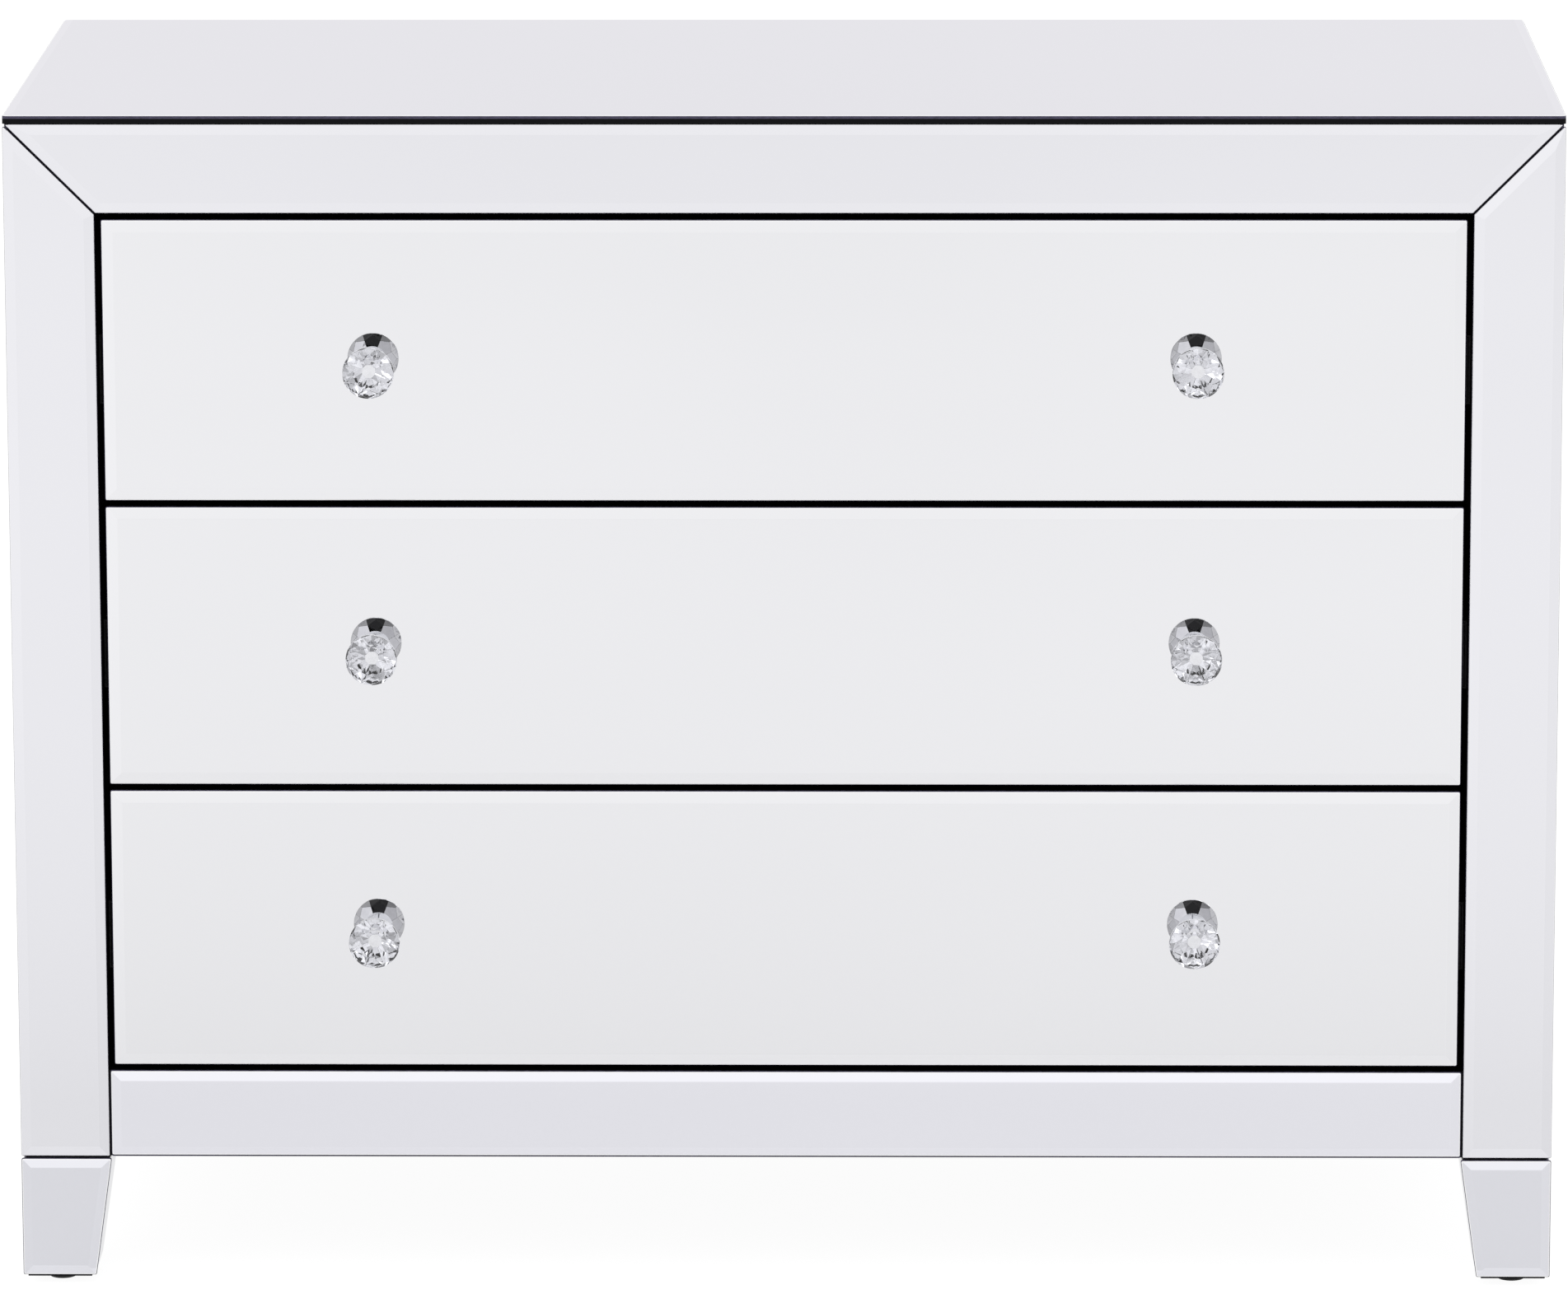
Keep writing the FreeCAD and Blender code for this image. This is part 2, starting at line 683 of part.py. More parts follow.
def leg_glides():
    """Four nail-on glides, which the chest stands on."""
    profile = (
        ("0", "0"),
        ("glide_flat", "0"),
        ("(glide_flat + glide_radius) / 2", "glide_height / 4"),
        ("glide_radius", "glide_height"),
        ("nail_radius", "glide_height"),
        ("nail_radius", "glide_height + nail_length - nail_radius"),
        ("0", "glide_height + nail_length"),
    )
    glide = put(turned_body("leg_glide", profile), "-foot_across", "foot_back")
    keep(group("leg_glides", four_corners("leg_glide", glide)))


# Runners


def channel(label, start, flange, height, level, opening=1):
    """A left runner member: a steel channel that opens to the right, or to the left."""
    body = new("PartDesign::Body", label)
    half = f"{height} / 2"
    sheet_in, tip = f"{opening} * runner_sheet", f"{opening} * {flange}"
    corners = (
        ("0", f"-{half}"),
        (tip, f"-{half}"),
        (tip, f"runner_sheet - {half}"),
        (sheet_in, f"runner_sheet - {half}"),
        (sheet_in, f"{half} - runner_sheet"),
        (tip, f"{half} - runner_sheet"),
        (tip, half),
        ("0", half),
    )
    add_pad(body, f"{label}_channel", outline(body, f"{label}_section", corners),
            Length="runner_length")
    return put(body, f"-frame_inner + {start}", "runner_back", level, FACING_FRONT)


def runner_level(low):
    """Height of the runners of the drawer whose mirror starts at a height."""
    return f"{low} + box_lift + runner_lift"


def cabinet_runners(lows):
    """The runner members that are fixed to the inner sides, two for each drawer."""
    members = []
    for name, low in zip(DRAWERS, lows):
        label = f"{name}_cabinet_runner"
        fixed = channel(label, "0", "runner_flange", "runner_height", runner_level(low))
        members += left_and_right(label, fixed)
    keep(group("cabinet_runners", members))


def middle_runners(name, low):
    """The two members that slide between the cabinet and the drawer."""
    label = f"{name}_drawer_middle_runner"
    moving = channel(label, "middle_start", "runner_flange", "middle_height", runner_level(low))
    keep(group(f"{label}s", left_and_right(label, moving)))


def drawer_runners(name, low):
    """The two members that are fixed to the drawer box."""
    label = f"{name}_drawer_runner"
    fixed = channel(label, "runner_space", "inner_flange", "inner_height", runner_level(low), -1)
    keep(group(f"{label}s", left_and_right(label, fixed)))


# Knobs


def grind_facets(body, name, radius, height, slope, inner, count, turned=0):
    """Grind one tier of flat facets through a point of radius and height, all round the crystal."""
    outer = "crystal_radius + overrun"
    start = f"{height} + ({inner} - ({radius})) * ({slope})"
    end = f"{height} + ({outer} - ({radius})) * ({slope})"
    corners = ((inner, start), (outer, end), (outer, start))
    wedge = outline(body, f"{name}_outline", corners, plane="XZ_Plane", turned=turned)
    facet = add_pocket(body, name, wedge, both_ways=True, Length=f"4 * ({outer})")
    tier = body.newObject("PartDesign::PolarPattern", f"{name}_tier")
    tier.Originals = [facet]
    tier.Axis = (origin_part(body, "Z_Axis"), [""])
    tier.Angle = 360
    tier.Occurrences = count
    body.Tip = tier


def cut_crystal(label):
    """A clear crystal in brilliant cut, with its table up and its girdle round."""
    rough = rectangle("0", "crystal_radius", "stem_length", "knob_reach")
    body = turned_body(label, rough)
    trim = f"{GIRDLE_TRIM_SHARE} * girdle_height"
    half_turn = 180 / GIRDLE_FACETS
    behind, above = "culet_radius - overrun", "table_corner - overrun"
    upper = f"{UPPER_FACET_STEEPNESS_SHARE} * crown_slope"
    star = f"{STAR_FACET_STEEPNESS_SHARE} * crown_slope"
    grind_facets(body, f"{label}_pavilion", "rim_inner", "girdle_bottom - rim_rise",
                 "pavilion_slope", behind, MAIN_FACETS)
    grind_facets(body, f"{label}_lower_girdle", "crystal_radius", f"girdle_bottom - {trim}",
                 "rim_rise / rim_width", behind, GIRDLE_FACETS, half_turn)
    grind_facets(body, f"{label}_bezel", "crystal_radius", "girdle_top",
                 "crown_slope", above, MAIN_FACETS)
    grind_facets(body, f"{label}_upper_girdle", "crystal_radius", f"girdle_top + {trim}",
                 upper, above, GIRDLE_FACETS, half_turn)
    grind_facets(body, f"{label}_star", "table_radius", "knob_reach",
                 star, "table_radius - overrun", MAIN_FACETS, 180 / MAIN_FACETS)
    return body


def knob_stem(label):
    """The chromed stem: a rosette on the mirror, a neck, and a cup for the crystal."""
    profile = (
        ("knob_screw_radius + fit_play", "0"),
        ("rosette_radius", "0"),
        ("rosette_radius", "rosette_height / 2"),
        ("stem_radius", "rosette_height"),
        ("stem_radius", "stem_length - cup_floor"),
        ("cup_inner + cup_wall", "stem_length + cup_height"),
        ("cup_inner", "stem_length + cup_height"),
        ("seat_radius", "stem_length"),
        ("0", "stem_length"),
        ("0", "stem_bore_depth"),
        ("knob_screw_radius + fit_play", "stem_bore_depth"),
    )
    return turned_body(label, profile)


def knob_screw(label):
    """The screw that holds a knob from inside the drawer, its head below its origin."""
    tip = "board_thick + mirror_thick + stem_bore_depth - knob_screw_end"
    crown = f"{HEAD_TOP_SHARE} * knob_head_radius"
    profile = (
        ("0", "-knob_head_height"),
        (crown, "-knob_head_height"),
        ("knob_head_radius", "-knob_head_rim"),
        ("knob_head_radius", "0"),
        ("knob_screw_radius", "0"),
        ("knob_screw_radius", tip),
        ("0", tip),
    )
    body = turned_body(label, profile)
    add_square_socket(body, raised="-knob_head_height")
    return body


def knobs(name, low):
    """Two knobs of a drawer: crystals, stems and screws."""
    level = f"{low} + knob_lift"
    for part, build, depth in (
        ("knob_crystals", cut_crystal, "front_face"),
        ("knob_stems", knob_stem, "front_face"),
        ("knob_screws", knob_screw, "board_back"),
    ):
        label = f"{name}_{part[:-1]}"
        left = put(build(label), "-knob_offset", depth, level, FACING_FRONT)
        keep(group(f"{name}_drawer_{part}", left_and_right(label, left)))


# Drawers


def drawer(name, low):
    """A drawer box on its runners, behind a black front with a bevelled mirror."""
    label = f"{name}_drawer"
    box_low = f"{low} + box_lift"
    groove_low = f"{box_low} + groove_lift"
    bottom_top = f"{groove_low} + bottom_thick"
    box_top = f"{box_low} + box_height"
    groove = board(
        f"{label}_groove",
        ("-box_inner - groove_depth", "box_inner + groove_depth"),
        ("board_back - groove_depth", "box_back + overrun"),
        (groove_low, f"{groove_low} + groove_height"),
    )

    plate = rectangle("-drawer_half", "drawer_half", "0", "drawer_height")
    holes = [(f"{side} * knob_offset", "knob_lift") for side in (-1, 1)]
    keep(bevelled_mirror(f"{label}_mirror", plate, "drawer_bevel", y="board_front", z=low,
                         holes=holes))

    reach = "drawer_half - front_inset"
    blank = board(
        f"{label}_front_blank",
        (f"-({reach})", reach),
        ("board_front", "board_back"),
        (f"{low} + front_inset", f"{low} + drawer_height - front_inset"),
    )
    drill = rod(
        f"{label}_drill",
        "knob_hole_radius",
        "board_thick + 2 * overrun",
        "-knob_offset",
        "board_back + overrun",
        f"{low} + knob_lift",
        FACING_FRONT,
    )
    drills = group(f"{label}_drills", left_and_right(f"{label}_drill", drill))
    keep(cut(f"{label}_front", blank, groove, drills))

    side = board(f"{label}_side_blank", ("-box_half", "-box_inner"), ("board_back", "box_back"),
                 (box_low, box_top))
    keep_both(f"{label}_", "side", cut(f"{label}_left_side", side, groove))
    keep(board(f"{label}_back", ("-box_inner", "box_inner"), ("box_back - box_thick", "box_back"),
               (bottom_top, f"{box_top} - back_drop")))
    keep(board(f"{label}_bottom", ("-box_inner - groove_depth", "box_inner + groove_depth"),
               ("board_back - groove_depth", "box_back"), (groove_low, bottom_top)))

    drawer_runners(name, low)
    middle_runners(name, low)
    knobs(name, low)


def check_document():
    """Stop if an object failed, a cut took nothing away, or a sub-part isn't sound."""
    for thing in doc.Objects:
        if {"Invalid", "Error"} & set(thing.State):
            raise RuntimeError(f"{thing.Label} failed: {thing.State}")
        if thing.TypeId == "PartDesign::Pocket":
            if thing.Shape.Volume >= thing.BaseFeature.Shape.Volume:
                raise RuntimeError(f"{thing.Label} cuts nothing")
        if thing.TypeId == "Part::Cut" and thing.Shape.Volume >= thing.Base.Shape.Volume:
            raise RuntimeError(f"{thing.Label} cuts nothing")
    for label, piece in pieces.items():
        if piece.Shape.isNull() or not piece.Shape.isValid() or not piece.Shape.Solids:
            raise RuntimeError(f"{label} has no sound shape")


def write_pieces():
    """Write each sub-part to its own file."""
    os.makedirs("parts", exist_ok=True)
    for label, piece in pieces.items():
        piece.Shape.exportStep(f"parts/{label}.step")


def main():
    """Build every sub-part, check it and write its file."""
    carcass_boards()
    front_frame()
    body_mirrors()
    legs()
    leg_mirrors()
    leg_bolts()
    leg_glides()
    lows = [
        f"opening_bottom + front_gap + {number} * drawer_pitch" for number in range(len(DRAWERS))
    ]
    cabinet_runners(lows)
    for name, low in zip(DRAWERS, lows):
        drawer(name, low)
    doc.recompute()
    check_document()
    write_pieces()
    print(f"{len(pieces)} sub-parts written")


main()
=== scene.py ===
"""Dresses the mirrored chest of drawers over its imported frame, and sets it in a pale studio."""

import json
import math
import random

import bmesh
import bpy
from mathutils import Matrix, Vector
from mathutils.geometry import convex_hull_2d

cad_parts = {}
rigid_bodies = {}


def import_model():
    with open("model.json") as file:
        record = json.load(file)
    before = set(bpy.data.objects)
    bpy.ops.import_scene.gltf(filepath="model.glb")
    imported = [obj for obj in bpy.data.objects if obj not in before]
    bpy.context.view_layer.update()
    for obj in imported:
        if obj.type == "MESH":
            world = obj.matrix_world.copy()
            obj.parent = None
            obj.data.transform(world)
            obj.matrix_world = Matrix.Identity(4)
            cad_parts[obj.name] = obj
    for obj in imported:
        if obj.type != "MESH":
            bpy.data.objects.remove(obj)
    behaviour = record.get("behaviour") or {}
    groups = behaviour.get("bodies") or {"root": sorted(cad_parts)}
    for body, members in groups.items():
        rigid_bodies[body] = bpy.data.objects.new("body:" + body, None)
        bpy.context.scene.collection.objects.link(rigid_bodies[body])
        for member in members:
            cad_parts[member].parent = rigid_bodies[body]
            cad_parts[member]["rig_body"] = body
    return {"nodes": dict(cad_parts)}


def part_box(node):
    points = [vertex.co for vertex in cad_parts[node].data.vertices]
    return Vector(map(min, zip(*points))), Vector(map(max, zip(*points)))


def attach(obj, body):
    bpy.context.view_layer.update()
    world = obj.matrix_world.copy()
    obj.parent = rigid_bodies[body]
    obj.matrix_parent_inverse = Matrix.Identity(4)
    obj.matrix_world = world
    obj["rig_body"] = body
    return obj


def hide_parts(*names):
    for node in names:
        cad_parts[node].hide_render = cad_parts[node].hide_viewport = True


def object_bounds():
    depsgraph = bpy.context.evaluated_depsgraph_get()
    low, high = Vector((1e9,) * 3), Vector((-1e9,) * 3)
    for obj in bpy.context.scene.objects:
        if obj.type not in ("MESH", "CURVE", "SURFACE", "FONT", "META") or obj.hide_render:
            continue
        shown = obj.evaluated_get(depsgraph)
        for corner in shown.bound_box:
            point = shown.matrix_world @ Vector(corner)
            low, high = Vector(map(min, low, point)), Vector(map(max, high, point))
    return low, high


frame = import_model()
CAD_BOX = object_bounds()

bl_info = {
    "name": "Mirrored Chest of Drawers",
    "version": (1, 0, 0),
    "blender": (4, 5, 0),
    "location": "3D View > Sidebar > Chest",
    "description": "Silvered glass, crystal knobs and runners for a chest of drawers",
    "category": "Add Mesh",
}

DRAWERS = ("bottom", "middle", "top")
PHOTO_WIDTH = 1903
SENSOR_WIDTH = 36.0
CORNER_STEPS = 5
HOLE_STEPS = 32
FLOOR_STEPS = 96

# Points of a mesh nearer than this are one point, and corners of an outline one corner.
SAME_PLACE, CLOSE = 1e-6, 2e-5
# An outline has a corner where the cosine of its turn is less than this.
STRAIGHT_ON = 0.9999
# A bevel that rises or falls more than this is an upper or a lower one.
STEEP = 0.12
# How far the polished strip falls for its width, and how much tighter the corners get inwards.
ARRIS_SLOPE = 0.45
RIM_ROUNDING, ARRIS_ROUNDING = 0.9, 0.8
# The foot of a plate's bevel is the first level that lies this far over its back.
LEAST_EDGE = 0.0002


# Sizes and colours


def colour(name, description, default):
    """A colour property."""
    return bpy.props.FloatVectorProperty(
        name=name,
        description=description,
        subtype="COLOR",
        size=3,
        min=0.0,
        max=1.0,
        default=default,
    )


def length(name, description, default, largest=10.0):
    """A length property, in metres."""
    return bpy.props.FloatProperty(
        name=name,
        description=description,
        subtype="DISTANCE",
        unit="LENGTH",
        min=0.0,
        max=largest,
        precision=5,
        default=default,
    )


def angle(name, description, degrees):
    """An angle property."""
    return bpy.props.FloatProperty(
        name=name,
        description=description,
        subtype="ANGLE",
        unit="ROTATION",
        default=math.radians(degrees),
    )


def share(name, description, default, largest=1.0):
    """A plain number from nought up."""
    return bpy.props.FloatProperty(
        name=name,
        description=description,
        subtype="FACTOR",
        min=0.0,
        max=largest,
        default=default,
    )


class ChestGlassSettings(bpy.types.PropertyGroup):
    """The silvered glass that clads the chest."""

    # Painted light and shade: each part's silver is a lighter or darker copy of one silvered glass,
    # set so that the part's reflection comes out at its own brightness, darkest on the top and
    # legs.
    drawer_silver: colour("Drawers", "Silver behind the drawer mirrors", (0.875, 0.875, 0.896))
    frame_silver_and_shade: colour("Frame", "Silver behind the stile and side mirrors", (0.856, 0.854, 0.89))
    top_silver_and_shade: colour("Top", "Silver behind the top mirror", (0.79, 0.786, 0.822))
    top_sheen: colour("Top sheen", "Tint of the top at a flat angle", (0.892, 0.886, 0.91))
    rail_silver_and_shade: colour("Top rail", "Silver behind the top rail mirror", (0.843, 0.841, 0.877))
    low_silver_and_shade: colour("Bottom rail", "Silver behind the bottom rail mirror", (0.862, 0.86, 0.912))
    leg_silver_and_shade: colour("Legs", "Silver behind the leg mirrors", (0.8, 0.802, 0.85))
    polish: share("Roughness", "Roughness of the cleanest glass", 0.012)
    rim_width: length("Rim", "Width of the dark turn of each edge", 0.0004, 0.002)
    drip_width: length("Lower rim", "The same under the bottom rail", 0.0011, 0.003)
    arris_width: length("Arris", "Width of the polished strip inside the rim", 0.0006, 0.002)
    # The ridge's bright line comes partly from its own slope and partly from a painted highlight.
    ridge_width: length("Ridge", "Width of the bright line inside each bevel", 0.0005, 0.002)
    corner_radius: length("Corners", "Radius of the plates' corners", 0.0012, 0.004)
    lid_radius: length("Top corners", "Radius of the top mirror's corners", 0.003, 0.006)


class ChestBodySettings(bpy.types.PropertyGroup):
    """Painted boards, linings and plastic."""

    paint: colour("Paint", "Black paint of the boards", (0.004, 0.004, 0.0052))
    lining: colour("Lining", "Black foil of the drawer boxes", (0.018, 0.018, 0.02))
    hardboard: colour("Back", "Dark hardboard of the back panel", (0.034, 0.033, 0.035))
    plastic: colour("Glides", "Black plastic of the glides", (0.012, 0.012, 0.012))


class ChestMetalSettings(bpy.types.PropertyGroup):
    """Chrome, coated sheet and steel."""

    chrome: colour("Chrome", "Plated knob stems", (0.78, 0.79, 0.82))
    # The runners' near-black coat is partly a painted shade: it keeps the gaps beside the drawers
    # dark.
    runner: colour("Runners", "Black coat of the runners", (0.016, 0.016, 0.018))
    steel: colour("Steel", "Screws and bolts", (0.5, 0.5, 0.52))


class ChestKnobSettings(bpy.types.PropertyGroup):
    """The cut crystals."""

    crystal: colour("Crystal", "Tint of the clear glass", (0.99, 0.992, 1.0))
    foil: colour("Foil", "Bright foil behind the crystal", (0.97, 0.972, 1.0))
    bending: bpy.props.FloatProperty(
        name="Bending of light",
        description="Refractive index of the crystal",
        min=1.0,
        max=2.5,
        default=1.56,
    )
    seam: length("Seams", "Width of the dull line round each foiled facet", 0.00008, 0.001)
    dimple: length("Dimple", "Depth of the dimple ground into each foiled facet", 0.0003, 0.001)
    air: length("Air", "Between the foil and its metal cup", 0.00006, 0.001)
    seed: bpy.props.IntProperty(
        name="Seed", description="Picks the tones of the small facets", default=11, min=0
    )


class ChestStageSettings(bpy.types.PropertyGroup):
    """The camera, the floor and the light."""

    aside: length("Aside", "How far right of the chest's middle the camera stands", 0.092)
    distance: length("Distance", "From the camera to the drawers' face", 6.0, 20.0)
    height: length("Height", "Height of the camera", 1.6605)
    turn: angle("Turn", "Camera's turn to the left", 0.88)
    tilt: angle("Tilt", "Camera's tilt down", 11.65)
    lean: angle("Lean", "Camera's lean about its own axis", -0.13)
    focal_pixels: bpy.props.FloatProperty(
        name="Focal length",
        description="Focal length in pixels of the photograph",
        min=1000.0,
        default=11505.0,
    )
    floor_radius: length("Floor", "Radius of the floor", 24.0, 60.0)
    ambient: share("Ambient", "Strength of the light from all round", 0.72, 2.0)
    key_watts: share("Key", "Watts of the large lamp", 30.0, 200.0)
    fill_watts: share("Fill", "Watts of the smaller lamp", 12.0, 200.0)


SETTINGS = {
    "chest_glass": ChestGlassSettings,
    "chest_body": ChestBodySettings,
    "chest_metal": ChestMetalSettings,
    "chest_knob": ChestKnobSettings,
    "chest_stage": ChestStageSettings,
}


# Shader helpers


def add(tree, kind, sockets=None, **options):
    """A new node, with its options set and each socket given a value or joined to an output."""
    made = tree.nodes.new(f"ShaderNode{kind}")
    for option, value in options.items():
        setattr(made, option, value)
    for socket, value in (sockets or {}).items():
        if isinstance(value, bpy.types.NodeSocket):
            tree.links.new(value, made.inputs[socket])
        else:
            made.inputs[socket].default_value = value
    return made


def new_finish(name):
    """A new material, its tree, its surface shader and the place on the piece."""
    material = bpy.data.materials.new(name)
    material.use_nodes = True
    tree = material.node_tree
    place = add(tree, "TexCoord").outputs["Object"]
    return material, tree, tree.nodes["Principled BSDF"], place


def noise(tree, place, scale, detail=2.0, distortion=0.0):
    """Soft noise of that many waves to a metre."""
    sockets = {"Vector": place, "Scale": scale, "Detail": detail, "Distortion": distortion}
    return add(tree, "TexNoise", sockets).outputs["Fac"]


def stretched(tree, place, stretch):
    """The place scaled along each axis, for a pattern with a direction."""
    return add(tree, "Mapping", {"Vector": place, "Scale": stretch}).outputs["Vector"]


def shades(tree, factor, first, last, low=0.3, high=0.7):
    """A colour that goes from first to last as the factor goes from low to high."""
    ramp = add(tree, "ValToRGB", {"Fac": factor})
    ends = ramp.color_ramp.elements
    ends[0].position, ends[1].position = low, high
    ends[0].color, ends[1].color = (*first, 1.0), (*last, 1.0)
    return ramp.outputs["Color"]


def spread(tree, factor, lowest, highest, low=0.3, high=0.7):
    """A number that goes from lowest to highest as the factor goes from low to high."""
    sockets = {"Value": factor, "From Min": low, "From Max": high}
    sockets.update({"To Min": lowest, "To Max": highest})
    return add(tree, "MapRange", sockets).outputs["Result"]


def relief(tree, height, depth, strength=1.0):
    """The surface's direction over a fine relief of that depth."""
    sockets = {"Height": height, "Distance": depth, "Strength": strength}
    return add(tree, "Bump", sockets).outputs["Normal"]


def scaled(tint, by):
    """A colour made lighter or darker, no lighter than white."""
    return tuple(min(1.0, part * by) for part in tint)


def drive(tree, shader, **sockets):
    """Joins outputs to the shader's sockets, or sets values on them."""
    for socket, value in sockets.items():
        name = socket.replace("_", " ")
        if isinstance(value, bpy.types.NodeSocket):
            tree.links.new(value, shader.inputs[name])
        else:
            shader.inputs[name].default_value = value


# Finishes of the glass


def silvered_glass(name, silver, polish, sheen=(1.0, 1.0, 1.0)):
    """Silvered float glass: faint waves, faint unevenness of the silver, and wiped smears."""
    material, tree, shader, place = new_finish(name)
    tone = shades(tree, noise(tree, place, 1.7, 1.0), scaled(silver, 0.988), scaled(silver, 1.008))
    smears = noise(tree, stretched(tree, place, (1.0, 1.0, 0.35)), 9.0, 6.0, 1.4)
    waves = relief(tree, noise(tree, place, 5.0, 1.0), 0.00012)
    drive(
        tree,
        shader,
        Base_Color=tone,
        Metallic=1.0,
        Roughness=spread(tree, smears, polish, polish * 1.8, 0.45, 0.8),
        Normal=waves,
        Specular_Tint=(*sheen, 1.0),
    )
    return material


def arris_glass():
    """The narrow strip ground along a plate's edge, which catches the light."""
    material, tree, shader, place = new_finish("polished_arris")
    grain = noise(tree, place, 900.0, 2.0)
    drive(
        tree,
        shader,
        Base_Color=shades(tree, grain, (0.97, 0.97, 0.98), (1.0, 1.0, 1.0)),
        Metallic=1.0,
        Roughness=spread(tree, grain, 0.25, 0.4),
        Normal=relief(tree, grain, 0.00002),
    )
    return material


def edge_glass():
    """The upright edge of a plate, dark grey with a breath of lavender."""
    material, tree, shader, place = new_finish("glass_edge")
    grain = noise(tree, stretched(tree, place, (1.0, 1.0, 6.0)), 260.0, 3.0)
    drive(
        tree,
        shader,
        Base_Color=shades(tree, grain, (0.06, 0.055, 0.095), (0.13, 0.12, 0.2)),
        Roughness=spread(tree, grain, 0.16, 0.3),
        Normal=relief(tree, grain, 0.00002),
        Specular_IOR_Level=0.3,
    )
    return material


def backing_paint():
    """The grey protective paint over the silver, on the back of each plate."""
    material, tree, shader, place = new_finish("mirror_backing")
    mottle = noise(tree, place, 60.0, 4.0)
    drive(
        tree,
        shader,
        Base_Color=shades(tree, mottle, (0.13, 0.135, 0.14), (0.19, 0.195, 0.2)),
        Roughness=spread(tree, mottle, 0.5, 0.7),
        Normal=relief(tree, noise(tree, place, 700.0, 2.0), 0.00003),
    )
    return material


def glass_finishes(name, silver, painted_bevel_light, polish, sheen=(1.0, 1.0, 1.0)):
    """The finishes of one kind of plate, in the order of the slots named below it.

    Painted light and shade: each bevel is a lighter or darker copy of the face's silver,
    at the left, at the right, above and below.
    """
    shared = {
        "polished_arris": arris_glass,
        "glass_edge": edge_glass,
        "mirror_backing": backing_paint,
    }
    ready = {key: bpy.data.materials.get(key) or make() for key, make in shared.items()}
    kinds = zip(("left", "right", "upper", "lower"), painted_bevel_light)
    bevels = [
        silvered_glass(f"{name}_{kind}_bevel", scaled(silver, tint), polish * 1.5, sheen)
        for kind, tint in kinds
    ]
    return (
        silvered_glass(f"{name}_silver", silver, polish, sheen),
        *bevels,
        # Painted highlight: the ridge's silver is a touch lighter than the face's, for its bright
        # line.
        silvered_glass(f"{name}_ridge", scaled(silver, 1.01), polish * 4, sheen),
        ready["polished_arris"],
        ready["glass_edge"],
        ready["mirror_backing"],
    )


# Slots of a plate's finishes; the four bevel slots carry the painted light and shade.
FACE, LEFT, RIGHT, UPPER, LOWER, RIDGE, ARRIS, EDGE, BACK = range(9)


# Finishes of the body


def black_paint(paint):
    """Satin black paint on fibreboard: a fine orange-peel and a few duller patches."""
    material, tree, shader, place = new_finish("satin_black_paint")
    patches = noise(tree, place, 14.0, 5.0)
    drive(
        tree,
        shader,
        Base_Color=shades(tree, patches, scaled(paint, 0.8), scaled(paint, 1.35)),
        Roughness=spread(tree, patches, 0.42, 0.56),
        Normal=relief(tree, noise(tree, place, 950.0, 2.0), 0.00004, 0.6),
        Specular_IOR_Level=0.1,
    )
    return material


def drawer_lining(lining):
    """Matt black foil with a faint pressed grain that runs along the board."""
    material, tree, shader, place = new_finish("drawer_lining")
    grain = noise(tree, stretched(tree, place, (7.0, 7.0, 90.0)), 6.0, 8.0, 0.5)
    drive(
        tree,
        shader,
        Base_Color=shades(tree, grain, scaled(lining, 0.7), scaled(lining, 1.5)),
        Roughness=spread(tree, grain, 0.55, 0.72),
        Normal=relief(tree, grain, 0.00008, 0.7),
        Specular_IOR_Level=0.25,
    )
    return material


def dark_hardboard(hardboard):
    """Hardboard: pressed fibres under a thin dark coat, with a slight mesh of flecks."""
    material, tree, shader, place = new_finish("dark_hardboard")
    fibres = noise(tree, place, 240.0, 8.0, 2.0)
    clouds = noise(tree, place, 7.0, 3.0)
    weight = add(tree, "Math", {0: fibres, 1: clouds}, operation="MULTIPLY").outputs[0]
    drive(
        tree,
        shader,
        Base_Color=shades(tree, weight, scaled(hardboard, 0.6), scaled(hardboard, 1.7), 0.15, 0.4),
        Roughness=spread(tree, fibres, 0.62, 0.82),
        Normal=relief(tree, fibres, 0.0002, 0.6),
        Specular_IOR_Level=0.25,
    )
    return material


def black_plastic(plastic):
    """Moulded black plastic with a fine spark-eroded grain."""
    material, tree, shader, place = new_finish("moulded_black_plastic")
    grain = noise(tree, place, 1500.0, 2.0)
    clouds = noise(tree, place, 80.0)
    drive(
        tree,
        shader,
        Base_Color=shades(tree, clouds, scaled(plastic, 0.8), scaled(plastic, 1.3)),
        Roughness=spread(tree, grain, 0.42, 0.6),
        Normal=relief(tree, grain, 0.00005, 0.7),
        Specular_IOR_Level=0.3,
    )
    return material


def bright_chrome(chrome):
    """Polished chrome with faint buffing marks."""
    material, tree, shader, place = new_finish("polished_chrome")
    marks = noise(tree, stretched(tree, place, (1.0, 8.0, 1.0)), 420.0, 3.0)
    clouds = noise(tree, place, 90.0)
    drive(
        tree,
        shader,
        Base_Color=shades(tree, clouds, scaled(chrome, 0.94), scaled(chrome, 1.03)),
        Metallic=1.0,
        Roughness=spread(tree, marks, 0.04, 0.1),
        Normal=relief(tree, marks, 0.000004),
    )
    return material


def coated_sheet(coat):
    """Black coated sheet steel, partly a painted shade for the gaps beside the drawers: faint
    rolling marks under the coat, and small dull rubs.
    """
    material, tree, shader, place = new_finish("black_coated_sheet")
    rolled = noise(tree, stretched(tree, place, (60.0, 1.0, 60.0)), 14.0, 4.0)
    rubs = noise(tree, stretched(tree, place, (30.0, 3.0, 30.0)), 9.0, 6.0, 0.8)
    drive(
        tree,
        shader,
        Base_Color=shades(tree, rubs, coat, scaled(coat, 2.2), 0.45, 0.8),
        Metallic=0.3,
        Roughness=spread(tree, rolled, 0.38, 0.54),
        Normal=relief(tree, rolled, 0.00002, 0.6),
        Specular_IOR_Level=0.35,
    )
    return material


